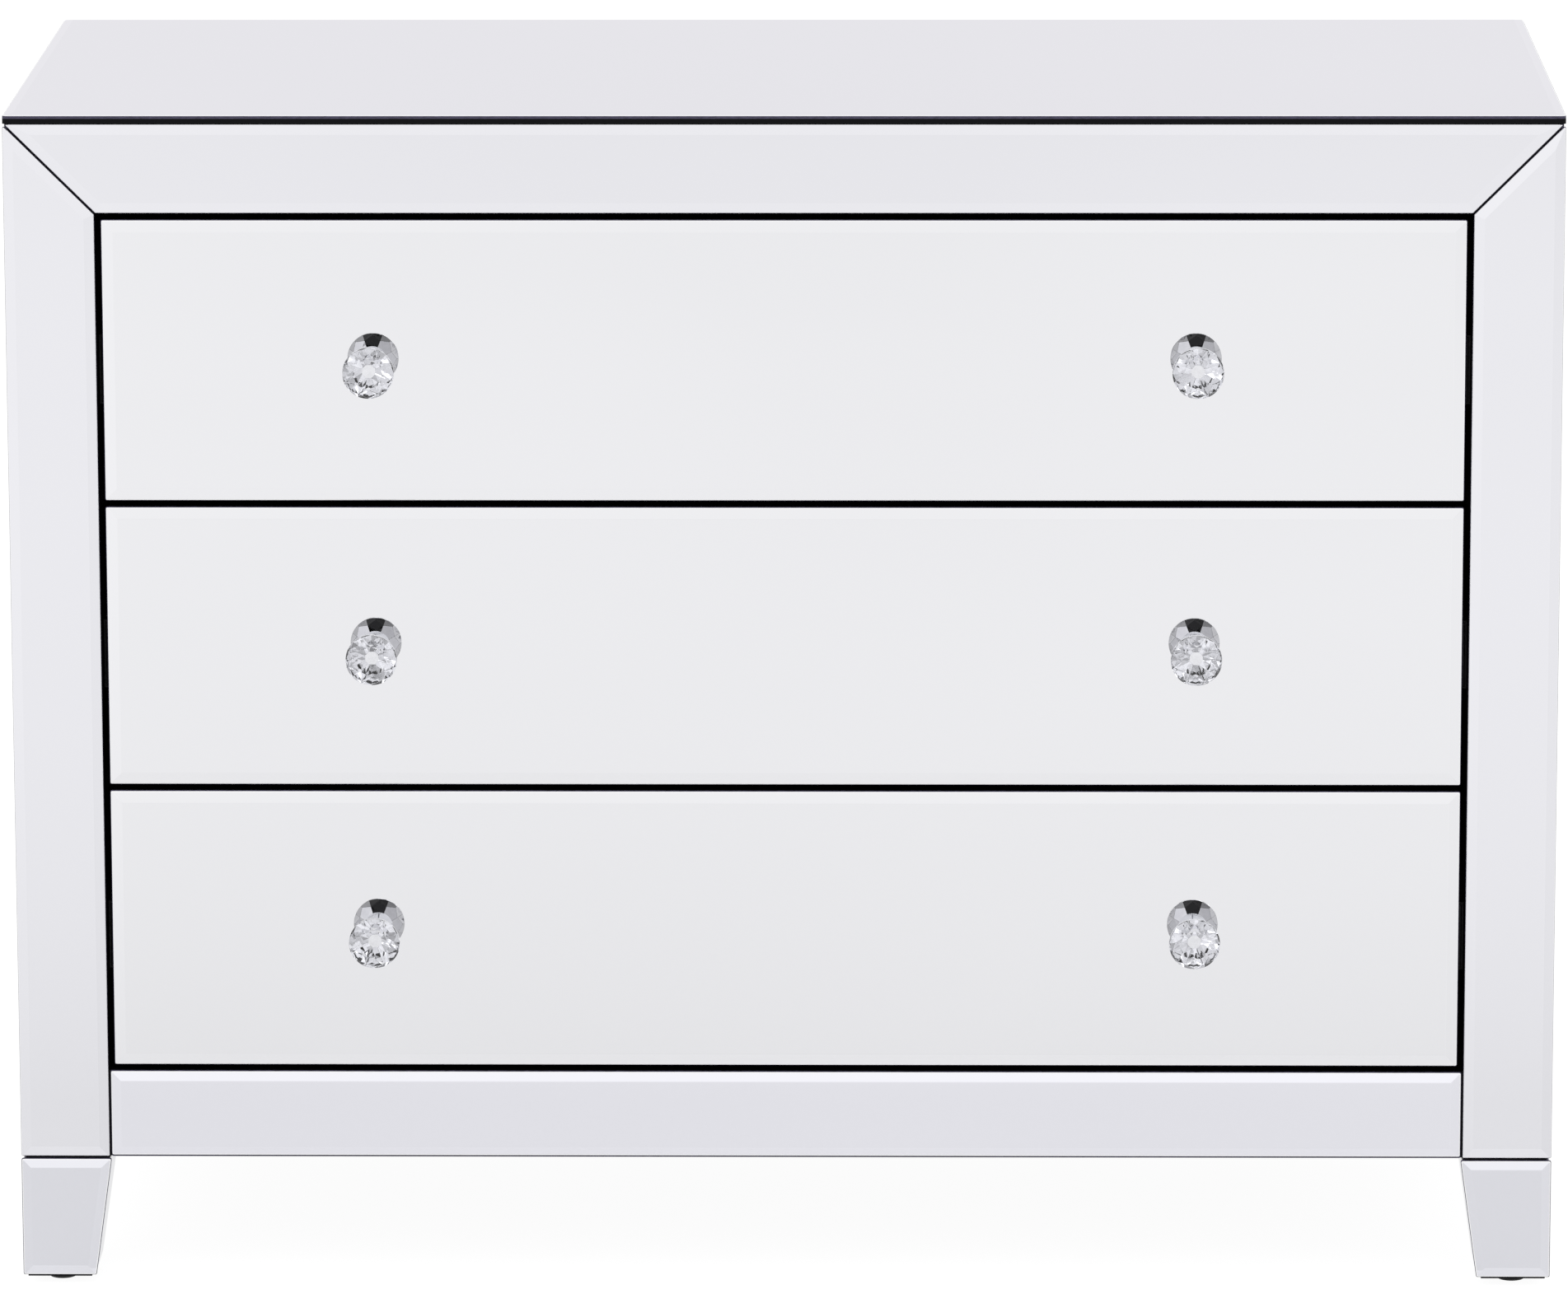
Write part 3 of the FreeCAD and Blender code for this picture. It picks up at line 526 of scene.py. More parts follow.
def brushed_steel(steel):
    """Zinc-plated steel of screws and bolts, with turning marks."""
    material, tree, shader, place = new_finish("plated_screw_steel")
    marks = noise(tree, place, 600.0, 4.0, 1.0)
    drive(
        tree,
        shader,
        Base_Color=shades(tree, marks, scaled(steel, 0.82), scaled(steel, 1.12)),
        Metallic=1.0,
        Roughness=spread(tree, marks, 0.28, 0.45),
        Normal=relief(tree, marks, 0.00002),
    )
    return material


# Finishes of the knobs


def clear_crystal(tint, bending):
    """Clear polished crystal, with the least haze of handling."""
    material, tree, shader, place = new_finish("clear_cut_crystal")
    haze = noise(tree, place, 160.0, 3.0)
    drive(
        tree,
        shader,
        Base_Color=shades(tree, haze, scaled(tint, 0.985), tint),
        Roughness=spread(tree, haze, 0.0, 0.008, 0.5, 0.8),
        Normal=relief(tree, haze, 0.000002, 0.5),
        IOR=bending,
        Transmission_Weight=1.0,
    )
    return material


def mixed(tree, blend, factor, first, second):
    """Two colours mixed in the given way."""
    made = add(tree, "Mix", {0: factor}, data_type="RGBA", blend_type=blend)
    tree.links.new(first, made.inputs[6])
    tree.links.new(second, made.inputs[7])
    return made.outputs[2]


def crystal_foil():
    """Foil on the back facets with painted reflections: each facet in its own tone, greyer from
    outside than from within.
    """
    material, tree, shader, place = new_finish("crystal_foil")
    outer = add(tree, "Attribute", attribute_name="outer_painted_reflection").outputs["Color"]
    inner = add(tree, "Attribute", attribute_name="inner_painted_reflection").outputs["Color"]
    within = add(tree, "NewGeometry").outputs["Backfacing"]
    cloud = shades(tree, noise(tree, place, 300.0, 3.0), (0.93, 0.93, 0.93), (1.0, 1.0, 1.0))
    tone = mixed(tree, "MULTIPLY", 1.0, mixed(tree, "MIX", within, outer, inner), cloud)
    drive(
        tree,
        shader,
        Base_Color=tone,
        Metallic=1.0,
        Roughness=spread(tree, noise(tree, place, 500.0), 0.03, 0.07),
        Normal=relief(tree, noise(tree, place, 700.0), 0.000003, 0.5),
    )
    return material


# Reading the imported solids


def back_normal(faces):
    """The direction of the largest flat side, which is a plate's back."""
    sides = {}
    for face in faces:
        key = tuple(round(part, 2) for part in face.normal)
        sides[key] = sides.get(key, Vector((0.0, 0.0, 0.0))) + face.normal * face.calc_area()
    return max(sides.values(), key=lambda side: side.length).normalized()


def solids_of(name):
    """The separate solids of a CAD node: the corner points of each, and its back's direction."""
    bm = bmesh.new()
    bm.from_mesh(frame["nodes"][name].data)
    bmesh.ops.remove_doubles(bm, verts=bm.verts, dist=SAME_PLACE)
    bm.normal_update()
    bm.verts.index_update()
    bm.faces.index_update()
    seen = set()
    found = []
    for start in bm.verts:
        if start in seen:
            continue
        seen.add(start)
        waiting = [start]
        joined = []
        while waiting:
            vert = waiting.pop()
            joined.append(vert)
            fresh = {edge.other_vert(vert) for edge in vert.link_edges} - seen
            seen |= fresh
            waiting += fresh
        # A set has an order of its own in each run, so both are sorted by their numbers.
        joined.sort(key=lambda vert: vert.index)
        touching = {face for vert in joined for face in vert.link_faces}
        faces = sorted(touching, key=lambda face: face.index)
        found.append(([vert.co.copy() for vert in joined], back_normal(faces)))
    bm.free()
    return found


def body_of(name):
    """The CAD body that a node rides on."""
    return frame["nodes"][name]["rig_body"]


# Building the glass plates


def corners_of(points):
    """The corners of the outline round some flat points, anticlockwise."""
    apart = []
    for point in sorted(points, key=lambda p: (round(p.x, 5), round(p.y, 5))):
        if all((point - other).length > CLOSE for other in apart):
            apart.append(point)
    hull = [apart[i] for i in convex_hull_2d(apart)]
    count = len(hull)
    sharp = []
    for i, point in enumerate(hull):
        before = (point - hull[i - 1]).normalized()
        after = (hull[(i + 1) % count] - point).normalized()
        if before.dot(after) < STRAIGHT_ON:
            sharp.append(point)
    middle = sum(sharp, Vector((0.0, 0.0))) / len(sharp)
    return sorted(sharp, key=lambda p: math.atan2(p.y - middle.y, p.x - middle.x))


def rounded(corners, radius):
    """The corners, each turned into a short arc."""
    path = []
    for i, corner in enumerate(corners):
        before = (corners[i - 1] - corner).normalized()
        after = (corners[(i + 1) % len(corners)] - corner).normalized()
        reach = radius / math.tan(before.angle(after) / 2)
        start, end = corner + before * reach, corner + after * reach
        for step in range(CORNER_STEPS):
            t = step / (CORNER_STEPS - 1)
            path.append(start * (1 - t) ** 2 + corner * (2 * t * (1 - t)) + end * t**2)
    return path


def hole_centres(points, outline, face_level):
    """Centre and radius of each hole, from the points of its rim on the face."""
    rims = {}
    for point, level in points:
        if abs(level - face_level) > SAME_PLACE:
            continue
        if min((point - corner).length for corner in outline) > CLOSE:
            rims.setdefault(point.x > 0, []).append(point)
    holes = []
    for side in sorted(rims):
        rim = rims[side]
        centre = sum(rim, Vector((0.0, 0.0))) / len(rim)
        radius = sum((point - centre).length for point in rim) / len(rim)
        holes.append((centre, radius))
    return holes


class Plate:
    """One glass plate: its outline, its face inside the bevel, its levels and its holes."""

    def __init__(self, points, back):
        self.out = -back
        lies_flat = abs(self.out.z) > 0.9
        level_with = Vector((0.0, 1.0, 0.0)) if lies_flat else Vector((0.0, 0.0, 1.0))
        self.across = level_with.cross(self.out).normalized()
        self.up = self.out.cross(self.across)
        flat = [(Vector((p.dot(self.across), p.dot(self.up))), p.dot(self.out)) for p in points]
        levels = sorted({round(level, 6) for _, level in flat})
        self.back, self.face = levels[0], levels[-1]
        self.edge = next(level for level in levels if level > self.back + LEAST_EDGE)
        self.outline = corners_of([point for point, _ in flat])
        inner = corners_of([p for p, level in flat if abs(level - self.face) < SAME_PLACE])
        self.inner = [min(inner, key=lambda p: (p - corner).length) for corner in self.outline]
        self.holes = hole_centres(flat, self.inner, self.face)

    def corners(self, t, lower=None):
        """The corners a share t of the way from the outline to the face, or lower at the foot."""
        middle = sum(point.y for point in self.outline) / len(self.outline)
        found = []
        for outer, inner in zip(self.outline, self.inner):
            corner = outer.lerp(inner, t)
            if lower is not None and outer.y < middle:
                corner.y = outer.lerp(inner, lower).y
            found.append(corner)
        return found

    def level(self, t):
        """The level a share t of the way up the bevel."""
        return self.edge + (self.face - self.edge) * t

    def place(self, point, level):
        """A flat point at a level, in the row frame."""
        return self.across * point.x + self.up * point.y + self.out * level


def ring(bm, plate, path, level):
    """Points of a closed path, and the edges between them."""
    verts = [bm.verts.new(plate.place(point, level)) for point in path]
    edges = [bm.edges.new((verts[i - 1], verts[i])) for i in range(len(verts))]
    return verts, edges


def strip(bm, first, second, finish):
    """A strip of faces between two rings, the first with as many points or more."""
    ratio = len(first) // len(second)
    count = len(first)
    faces = []
    for i, vert in enumerate(first):
        following = first[(i + 1) % count]
        near, far = second[i // ratio], second[((i + 1) % count) // ratio]
        corners = (vert, following, far, near) if near is not far else (vert, following, near)
        faces.append(bm.faces.new(corners))
        faces[-1].material_index = finish
    return faces


def cap(bm, edges, finish, normal):
    """A flat face inside a ring and round the holes in it."""
    filled = bmesh.ops.triangle_fill(bm, use_beauty=True, edges=edges, normal=normal)
    for item in filled["geom"]:
        if isinstance(item, bmesh.types.BMFace):
            item.material_index = finish


def sort_bevels(plate, bevel):
    """Gives the bevels that face up, down or to the right slots of their own, for their painted
    light.
    """
    for face in bevel:
        face.normal_update()
        outward = math.copysign(1.0, face.normal.dot(plate.out))
        rise, aside = (face.normal.dot(way) * outward for way in (plate.up, plate.across))
        if abs(rise) > STEEP:
            face.material_index = UPPER if rise > 0 else LOWER
        elif aside > 0:
            face.material_index = RIGHT


def build_plate(bm, plate, radius, settings, lower_rim):
    """One plate, with its upright edge, rim, arris, bevel, ridge line, face and holes."""
    run = max((o - i).length for o, i in zip(plate.outline, plate.inner)) / math.sqrt(2)
    rim, ridge = settings.rim_width / run, settings.ridge_width / run / 2
    arris = rim + settings.arris_width / run
    lower = lower_rim / run
    fall = settings.arris_width * ARRIS_SLOPE
    inside = plate.corners(arris, lower + arris - rim)
    rings = (
        (rounded(plate.corners(0.0), radius), plate.back),
        (rounded(plate.corners(0.0), radius), plate.edge - fall - settings.rim_width),
        (rounded(plate.corners(rim, lower), radius * RIM_ROUNDING), plate.edge - fall),
        (rounded(inside, radius * ARRIS_ROUNDING), plate.level(arris)),
        (plate.corners(1.0 - ridge), plate.level(1.0 - ridge)),
        (plate.corners(1.0 + ridge), plate.face),
    )
    built = [ring(bm, plate, path, level) for path, level in rings]
    finishes = (EDGE, EDGE, ARRIS, LEFT, RIDGE)
    for (first, _), (second, _), finish in zip(built, built[1:], finishes):
        made = strip(bm, first, second, finish)
        if finish == LEFT:
            sort_bevels(plate, made)
    front, behind = list(built[-1][1]), list(built[0][1])
    for centre, size in plate.holes:
        turns = [2 * math.pi * i / HOLE_STEPS for i in range(HOLE_STEPS)]
        path = [centre + Vector((math.cos(a), math.sin(a))) * size for a in turns]
        near, near_edges = ring(bm, plate, path, plate.face)
        far, far_edges = ring(bm, plate, path, plate.back)
        strip(bm, near, far, EDGE)
        front += near_edges
        behind += far_edges
    cap(bm, front, FACE, plate.out)
    cap(bm, behind, BACK, -plate.out)


def finished_object(bm, name, finishes):
    """An object from a built mesh, closed, with its faces turned outwards."""
    bmesh.ops.recalc_face_normals(bm, faces=bm.faces)
    mesh = bpy.data.meshes.new(name)
    bm.to_mesh(mesh)
    bm.free()
    for finish in finishes:
        mesh.materials.append(finish)
    made = bpy.data.objects.new(name, mesh)
    bpy.context.scene.collection.objects.link(made)
    return made


def lay_mirror(node, finishes, settings, radius, lower_rim=None):
    """The glass plates that stand for one CAD node."""
    bm = bmesh.new()
    for points, back in solids_of(node):
        build_plate(bm, Plate(points, back), radius, settings, lower_rim or settings.rim_width)
    piece = finished_object(bm, f"{node}_glass", finishes)
    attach(piece, body_of(node))
    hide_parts(node)


# Building the crystals


# Painted reflections: tones of the facets behind, clockwise from the top, as seen from outside and
# from within.
MAIN_OUTER = (0.03, 0.56, 0.68, 0.62, 0.55, 0.55, 0.66, 0.88)
MAIN_INNER = (1.0, 0.93, 1.0, 0.8, 1.0, 0.88, 1.0, 1.0)
RIM_OUTER = (
    *(0.03, 0.22, 0.6, 0.64, 0.62, 0.6, 0.08, 0.34),
    *(0.5, 0.5, 0.5, 0.52, 0.6, 0.5, 0.36, 0.05),
)
RIM_INNER = (
    *(1.0, 0.6, 1.0, 0.05, 1.0, 0.85, 0.05, 1.0),
    *(0.4, 1.0, 0.1, 1.0, 0.7, 1.0, 0.08, 1.0),
)
# Painted reflections too: the flat back facet, the dark seams round the facets, and the shards.
FLAT_TONES = (0.7, 0.9)
SEAM_OUTER, SEAM_INNER = 0.03, 0.5
SHARDS = (1.0, 1.0, 1.0, 0.97, 0.9, 1.0, 0.82, 1.0, 0.58, 1.0)
# Where the outer ring of facets starts, as a share of the crystal's radius.
RIM_START = 0.78
# The slopes from which a facet is foiled, and from which it is the flat one at the back.
FOILED, FLAT = 0.05, 0.99
# How far from its centre a crystal's facets reach, as a share of its radius.
CRYSTAL_REACH = 1.5
# Faces that meet at less than this angle, in degrees, are one facet.
ONE_FACET = 0.6


def facet_painted_reflections(normal, away, radius, turned):
    """The painted reflections of one back facet: its tones from outside and from within the
    crystal.
    """
    if normal.y > FLAT:
        return FLAT_TONES
    turn = math.atan2(away.x, away.z) / (2 * math.pi)
    if math.hypot(away.x, away.z) > radius * RIM_START:
        number = math.floor(turn * len(RIM_OUTER)) % len(RIM_OUTER)
        return RIM_OUTER[number], RIM_INNER[(number + turned) % len(RIM_INNER)]
    number = round(turn * len(MAIN_OUTER)) % len(MAIN_OUTER)
    return MAIN_OUTER[number], MAIN_INNER[(number + turned) % len(MAIN_INNER)]


def cut_crystal(bm, centre, radius, settings, dice):
    """Gives the back facets of one crystal their painted reflections: tones, dark seams and shards.
    """
    outer, inner = (bm.faces.layers.float_color[key] for key in ("outer_painted_reflection", "inner_painted_reflection"))
    turned = dice.randrange(len(RIM_INNER))
    reach = radius * CRYSTAL_REACH
    near = [face for face in bm.faces if (face.calc_center_median() - centre).length < reach]
    foiled = [face for face in near if face.normal.y > FOILED]
    for face in foiled:
        away = face.calc_center_median() - centre
        tones = facet_painted_reflections(face.normal, away, radius, turned)
        face.material_index = 1
        for layer, tone in zip((outer, inner), tones):
            face[layer] = (*scaled(settings.foil, tone), 1.0)
    cut = [face for face in foiled if face.normal.y < FLAT]
    seams = bmesh.ops.inset_individual(bm, faces=cut, thickness=settings.seam)["faces"]
    for face in seams:
        face[outer] = (*scaled(settings.foil, SEAM_OUTER), 1.0)
        face[inner] = (*scaled(settings.foil, SEAM_INNER), 1.0)
    shards = bmesh.ops.poke(bm, faces=cut, offset=-settings.dimple)["faces"]
    for face in shards:
        face[inner] = (*scaled(face[inner][:3], dice.choice(SHARDS)), 1.0)
    behind = seams + shards + [face for face in foiled if face.is_valid]
    for vert in {vert for face in behind for vert in face.verts}:
        if vert.co.y > centre.y:
            vert.co.y -= settings.air


def build_crystals(node, settings):
    """Two cut crystals with the CAD's facets: clear in front, foiled behind."""
    bm = bmesh.new()
    bm.from_mesh(frame["nodes"][node].data)
    bmesh.ops.remove_doubles(bm, verts=bm.verts, dist=SAME_PLACE)
    least = math.radians(ONE_FACET)
    bmesh.ops.dissolve_limit(bm, angle_limit=least, verts=bm.verts, edges=bm.edges)
    for key in ("outer_painted_reflection", "inner_painted_reflection"):
        bm.faces.layers.float_color.new(key)
    low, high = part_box(node)
    radius = (high.z - low.z) / 2
    middle = (low + high) / 2
    dice = random.Random(f"{settings.seed} {node}")
    for side in (-1, 1):
        centre = Vector((side * (high.x - radius), middle.y, middle.z))
        cut_crystal(bm, centre, radius, settings, dice)
    finishes = [bpy.data.materials[key] for key in ("clear_cut_crystal", "crystal_foil")]
    piece = finished_object(bm, f"{node}_cut", finishes)
    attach(piece, body_of(node))
    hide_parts(node)


# Finishing the other solids


def coat(names, finish):
    """Gives CAD nodes a finish."""
    for name in names:
        for held in frame["nodes"][name].material_slots:
            held.material = finish


def each_drawer(*parts):
    """The nodes with those endings, for all three drawers."""
    return [f"{name}_drawer_{part}" for name in DRAWERS for part in parts]


# The studio


def set_camera(settings):
    """The camera, where the photograph was taken from."""
    lens = bpy.data.cameras.new("photograph_camera")
    lens.sensor_width = SENSOR_WIDTH
    lens.lens = settings.focal_pixels * SENSOR_WIDTH / PHOTO_WIDTH
    lens.clip_end = 100.0
    camera = bpy.data.objects.new("photograph_camera", lens)
    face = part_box("top_drawer_mirror")[0].y
    spot = Matrix.Translation((settings.aside, face - settings.distance, settings.height))
    turn = Matrix.Rotation(settings.turn, 4, "Z")
    tilt = Matrix.Rotation(math.radians(90) - settings.tilt, 4, "X")
    lean = Matrix.Rotation(settings.lean, 4, "Z")
    camera.matrix_world = spot @ turn @ tilt @ lean
    bpy.context.scene.collection.objects.link(camera)
    bpy.context.scene.camera = camera


def seen_directly(tree, with_glass=True):
    """One where the camera looks straight, or also where it looks by way of metal or glass."""
    rays = add(tree, "LightPath").outputs
    if not with_glass:
        return rays["Is Camera Ray"]
    first = add(tree, "Math", {0: rays["Is Camera Ray"], 1: rays["Is Glossy Ray"]}, operation="ADD")
    both = {0: first.outputs[0], 1: rays["Is Transmission Ray"]}
    return add(tree, "Math", both, operation="ADD", use_clamp=True).outputs[0]


def set_world(settings):
    """White all round where it is seen, and plain soft light on the chest."""
    world = bpy.data.worlds.new("white_studio")
    bpy.context.scene.world = world
    world.use_nodes = True
    tree = world.node_tree
    tree.nodes.clear()
    white = add(tree, "Background", {"Strength": 1.0})
    light = add(tree, "Background", {"Strength": settings.ambient})
    for background in (white, light):
        background.inputs["Color"].default_value = (1.0, 1.0, 1.0, 1.0)
    ends = {0: seen_directly(tree), 1: light.outputs[0], 2: white.outputs[0]}
    both = add(tree, "MixShader", ends)
    add(tree, "OutputWorld", {"Surface": both.outputs[0]})


# The floor's own light where the camera sees it straight.
STRAIGHT = 0.95
# The same where a mirror shows it, and how far the painted shade by the chest reaches and fades.
MIRRORED_FAR, MIRRORED_SHADED = 0.797, 0.7
NEAR_REACH, NEAR_FADE = 0.45, 0.7


def outside(tree, along, half):
    """How far a coordinate lies outside the chest's half width or half depth."""
    size = add(tree, "Math", {0: along}, operation="ABSOLUTE").outputs[0]
    past = add(tree, "Math", {0: size, 1: half}, operation="SUBTRACT").outputs[0]
    return add(tree, "Math", {0: past, 1: 0.0}, operation="MAXIMUM").outputs[0]


def near_shade(tree, place, half_width, half_depth):
    """The floor's tone as a mirror shows it: pale, with a painted shade just outside the chest."""
    parts = add(tree, "SeparateXYZ", {"Vector": place}).outputs
    aside = outside(tree, parts["X"], half_width)
    ahead = outside(tree, parts["Y"], half_depth)
    vector = add(tree, "CombineXYZ", {"X": aside, "Y": ahead}).outputs[0]
    away = add(tree, "VectorMath", {0: vector}, operation="LENGTH").outputs["Value"]
    past = add(tree, "Math", {0: away, 1: NEAR_REACH}, operation="SUBTRACT").outputs[0]
    further = add(tree, "Math", {0: past, 1: 0.0}, operation="MAXIMUM").outputs[0]
    faded = add(tree, "Math", {0: further, 1: -1 / NEAR_FADE}, operation="MULTIPLY").outputs[0]
    fading = add(tree, "Math", {0: faded}, operation="EXPONENT").outputs[0]
    clear = add(tree, "Math", {0: away, 1: 0.0}, operation="GREATER_THAN").outputs[0]
    near = add(tree, "Math", {0: fading, 1: clear}, operation="MULTIPLY").outputs[0]
    return spread(tree, near, MIRRORED_FAR, MIRRORED_SHADED, 0.0, 1.0)


def floor_finish():
    """Pale floor: it clips to white for the camera and keeps the chest's soft shadow."""
    material = bpy.data.materials.new("pale_floor")
    material.use_nodes = True
    tree = material.node_tree
    tree.nodes.clear()
    place = add(tree, "TexCoord").outputs["Object"]
    mottle = noise(tree, place, 0.9, 2.0)
    pale = shades(tree, mottle, (0.195, 0.195, 0.197), (0.205, 0.205, 0.207))
    matt = add(tree, "BsdfDiffuse", {"Color": pale}).outputs[0]
    half = (CAD_BOX[1] - CAD_BOX[0]) / 2
    # Painted shade: where a mirror shows the floor, its glow is greyer just outside the chest.
    mirrored = add(tree, "Emission", {"Strength": near_shade(tree, place, half.x, half.y)})
    straight = add(tree, "Emission", {"Strength": STRAIGHT})
    seen = {0: seen_directly(tree, False), 1: mirrored.outputs[0], 2: straight.outputs[0]}
    shown = add(tree, "MixShader", seen).outputs[0]
    nothing = add(tree, "Emission", {"Strength": 0.0}).outputs[0]
    glow = add(tree, "MixShader", {0: seen_directly(tree), 1: nothing, 2: shown}).outputs[0]
    both = add(tree, "AddShader", {0: matt, 1: glow}).outputs[0]
    add(tree, "OutputMaterial", {"Surface": both})
    return material


def lay_floor(settings):
    """A round floor under the chest."""
    bm = bmesh.new()
    bmesh.ops.create_circle(
        bm, cap_ends=True, segments=FLOOR_STEPS, radius=settings.floor_radius
    )
    floor = finished_object(bm, "studio_floor", [floor_finish()])


# Each lamp's width and place, and what both of them face.
KEY_SIZE, KEY_SPOT = 3.0, (-2.4, -2.8, 3.4)
FILL_SIZE, FILL_SPOT = 2.4, (3.2, -1.6, 2.6)
LIT_SPOT = (0.0, 0.0, 0.4)


def hang_lamp(name, watts, size, spot):
    """A large square lamp that faces the chest, and that no mirror shows."""
    lamp = bpy.data.lights.new(name, "AREA")
    lamp.shape = "SQUARE"
    lamp.size = size
    lamp.energy = watts
    held = bpy.data.objects.new(name, lamp)
    held.location = spot
    aim = Vector(LIT_SPOT) - held.location
    held.rotation_euler = aim.to_track_quat("-Z", "Y").to_euler()
    held.visible_glossy = False
    bpy.context.scene.collection.objects.link(held)


# Operators


class ChestOperator:
    """What every piece's operator shares."""

    bl_options = {"REGISTER", "UNDO"}

    def execute(self, context):
        self.make(context.scene)
        return {"FINISHED"}


class CHEST_OT_top_mirror(ChestOperator, bpy.types.Operator):
    """Lay the bevelled mirror on the top board"""

    bl_idname = "chest.top_mirror"
    bl_label = "Top Mirror"

    def make(self, scene):
        glass = scene.chest_glass
        silver, sheen = glass.top_silver_and_shade, glass.top_sheen
        # Painted light: every bevel of the top is a little lighter than its face.
        painted_bevel_light = (1.03, 1.03, 1.03, 1.03)
        finishes = glass_finishes("top", silver, painted_bevel_light, glass.polish, sheen)
        lay_mirror("top_mirror", finishes, glass, glass.lid_radius)


class CHEST_OT_frame_mirrors(ChestOperator, bpy.types.Operator):
    """Lay the mirrors of the stiles and of both sides"""

    bl_idname = "chest.frame_mirrors"
    bl_label = "Stile and Side Mirrors"

    def make(self, scene):
        glass = scene.chest_glass
        # Painted light and shade: bevels lighter at the left and below, darker at the right.
        painted_bevel_light = (1.02, 0.97, 1.0, 1.05)
        finishes = glass_finishes("frame", glass.frame_silver_and_shade, painted_bevel_light, glass.polish)
        for part in ("stile", "side"):
            for side in ("left", "right"):
                lay_mirror(f"{side}_{part}_mirror", finishes, glass, glass.corner_radius)


class CHEST_OT_top_rail_mirror(ChestOperator, bpy.types.Operator):
    """Lay the mirror of the top rail, mitred at both ends"""

    bl_idname = "chest.top_rail_mirror"
    bl_label = "Top Rail Mirror"

    def make(self, scene):
        glass = scene.chest_glass
        # Painted light and shade: bevels lighter at the sides and below, a touch darker above.
        painted_bevel_light = (1.01, 1.01, 0.995, 1.035)
        finishes = glass_finishes("top_rail", glass.rail_silver_and_shade, painted_bevel_light, glass.polish)
        lay_mirror("top_rail_mirror", finishes, glass, glass.corner_radius)


class CHEST_OT_bottom_rail_mirror(ChestOperator, bpy.types.Operator):
    """Lay the mirror of the bottom rail"""

    bl_idname = "chest.bottom_rail_mirror"
    bl_label = "Bottom Rail Mirror"

    def make(self, scene):
        glass = scene.chest_glass
        # Painted light: bevels lighter at the left, above and below.
        painted_bevel_light = (1.02, 1.0, 1.06, 1.03)
        finishes = glass_finishes("bottom_rail", glass.low_silver_and_shade, painted_bevel_light, glass.polish)
        lay_mirror("bottom_rail_mirror", finishes, glass, glass.corner_radius, glass.drip_width)


class CHEST_OT_leg_mirrors(ChestOperator, bpy.types.Operator):
    """Lay the small tapered mirrors of the legs"""

    bl_idname = "chest.leg_mirrors"
    bl_label = "Leg Mirrors"

    def make(self, scene):
        glass = scene.chest_glass
        # Painted light and shade: bevels lighter at the sides and above, darker below.
        painted_bevel_light = (1.01, 1.025, 1.08, 0.98)
        finishes = glass_finishes("leg", glass.leg_silver_and_shade, painted_bevel_light, glass.polish)
        lay_mirror("leg_mirrors", finishes, glass, glass.corner_radius)


class CHEST_OT_drawer_mirrors(ChestOperator, bpy.types.Operator):
    """Lay the bevelled and drilled mirrors of the three drawers"""

    bl_idname = "chest.drawer_mirrors"
    bl_label = "Drawer Mirrors"

    def make(self, scene):
        glass = scene.chest_glass
        # Painted light and shade: bevels lighter at the left and below, darker at the right and
        # above.
        painted_bevel_light = (1.025, 0.995, 0.985, 1.04)
        finishes = glass_finishes("drawer", glass.drawer_silver, painted_bevel_light, glass.polish)
        for node in each_drawer("mirror"):
            lay_mirror(node, finishes, glass, glass.corner_radius)


class CHEST_OT_painted_boards(ChestOperator, bpy.types.Operator):
    """Paint the carcass boards, frame members, leg cores and drawer fronts black"""

    bl_idname = "chest.painted_boards"
    bl_label = "Painted Boards"

    def make(self, scene):
        boards = ["top_board", "bottom_board", "left_side_panel", "right_side_panel"]
        members = ["left_stile", "right_stile", "top_rail", "bottom_rail"]
        legs = [f"{end}_{side}_leg" for end in ("front", "back") for side in ("left", "right")]
        coat(boards + members + legs + each_drawer("front"), black_paint(scene.chest_body.paint))


class CHEST_OT_linings(ChestOperator, bpy.types.Operator):
    """Line the drawer boxes and the inner sides with matt black foil"""

    bl_idname = "chest.linings"
    bl_label = "Drawer Boxes and Inner Sides"

    def make(self, scene):
        boxes = each_drawer("left_side", "right_side", "back", "bottom")
        inner = ["left_inner_side", "right_inner_side"]
        coat(boxes + inner, drawer_lining(scene.chest_body.lining))


class CHEST_OT_back(ChestOperator, bpy.types.Operator):
    """Finish the hardboard back"""

    bl_idname = "chest.back"
    bl_label = "Back Panel"

    def make(self, scene):
        coat(["back_panel"], dark_hardboard(scene.chest_body.hardboard))


class CHEST_OT_glides(ChestOperator, bpy.types.Operator):
    """Finish the plastic glides under the legs"""

    bl_idname = "chest.glides"
    bl_label = "Glides"

    def make(self, scene):
        coat(["leg_glides"], black_plastic(scene.chest_body.plastic))


class CHEST_OT_runners(ChestOperator, bpy.types.Operator):
    """Coat the members of the telescopic runners black"""

    bl_idname = "chest.runners"
    bl_label = "Runners"

    def make(self, scene):
        names = ["cabinet_runners"] + each_drawer("runners", "middle_runners")
        # Painted shade in part: the near-black coat keeps the narrow gaps beside the drawers dark.
        coat(names, coated_sheet(scene.chest_metal.runner))


class CHEST_OT_screws(ChestOperator, bpy.types.Operator):
    """Finish the screws of the back and the knobs, and the leg bolts"""

    bl_idname = "chest.screws"
    bl_label = "Screws and Bolts"

    def make(self, scene):
        names = ["back_panel_screws", "leg_bolts"] + each_drawer("knob_screws")
        coat(names, brushed_steel(scene.chest_metal.steel))


class CHEST_OT_knob_stems(ChestOperator, bpy.types.Operator):
    """Plate the knob stems with chrome"""

    bl_idname = "chest.knob_stems"
    bl_label = "Knob Stems"

    def make(self, scene):
        coat(each_drawer("knob_stems"), bright_chrome(scene.chest_metal.chrome))


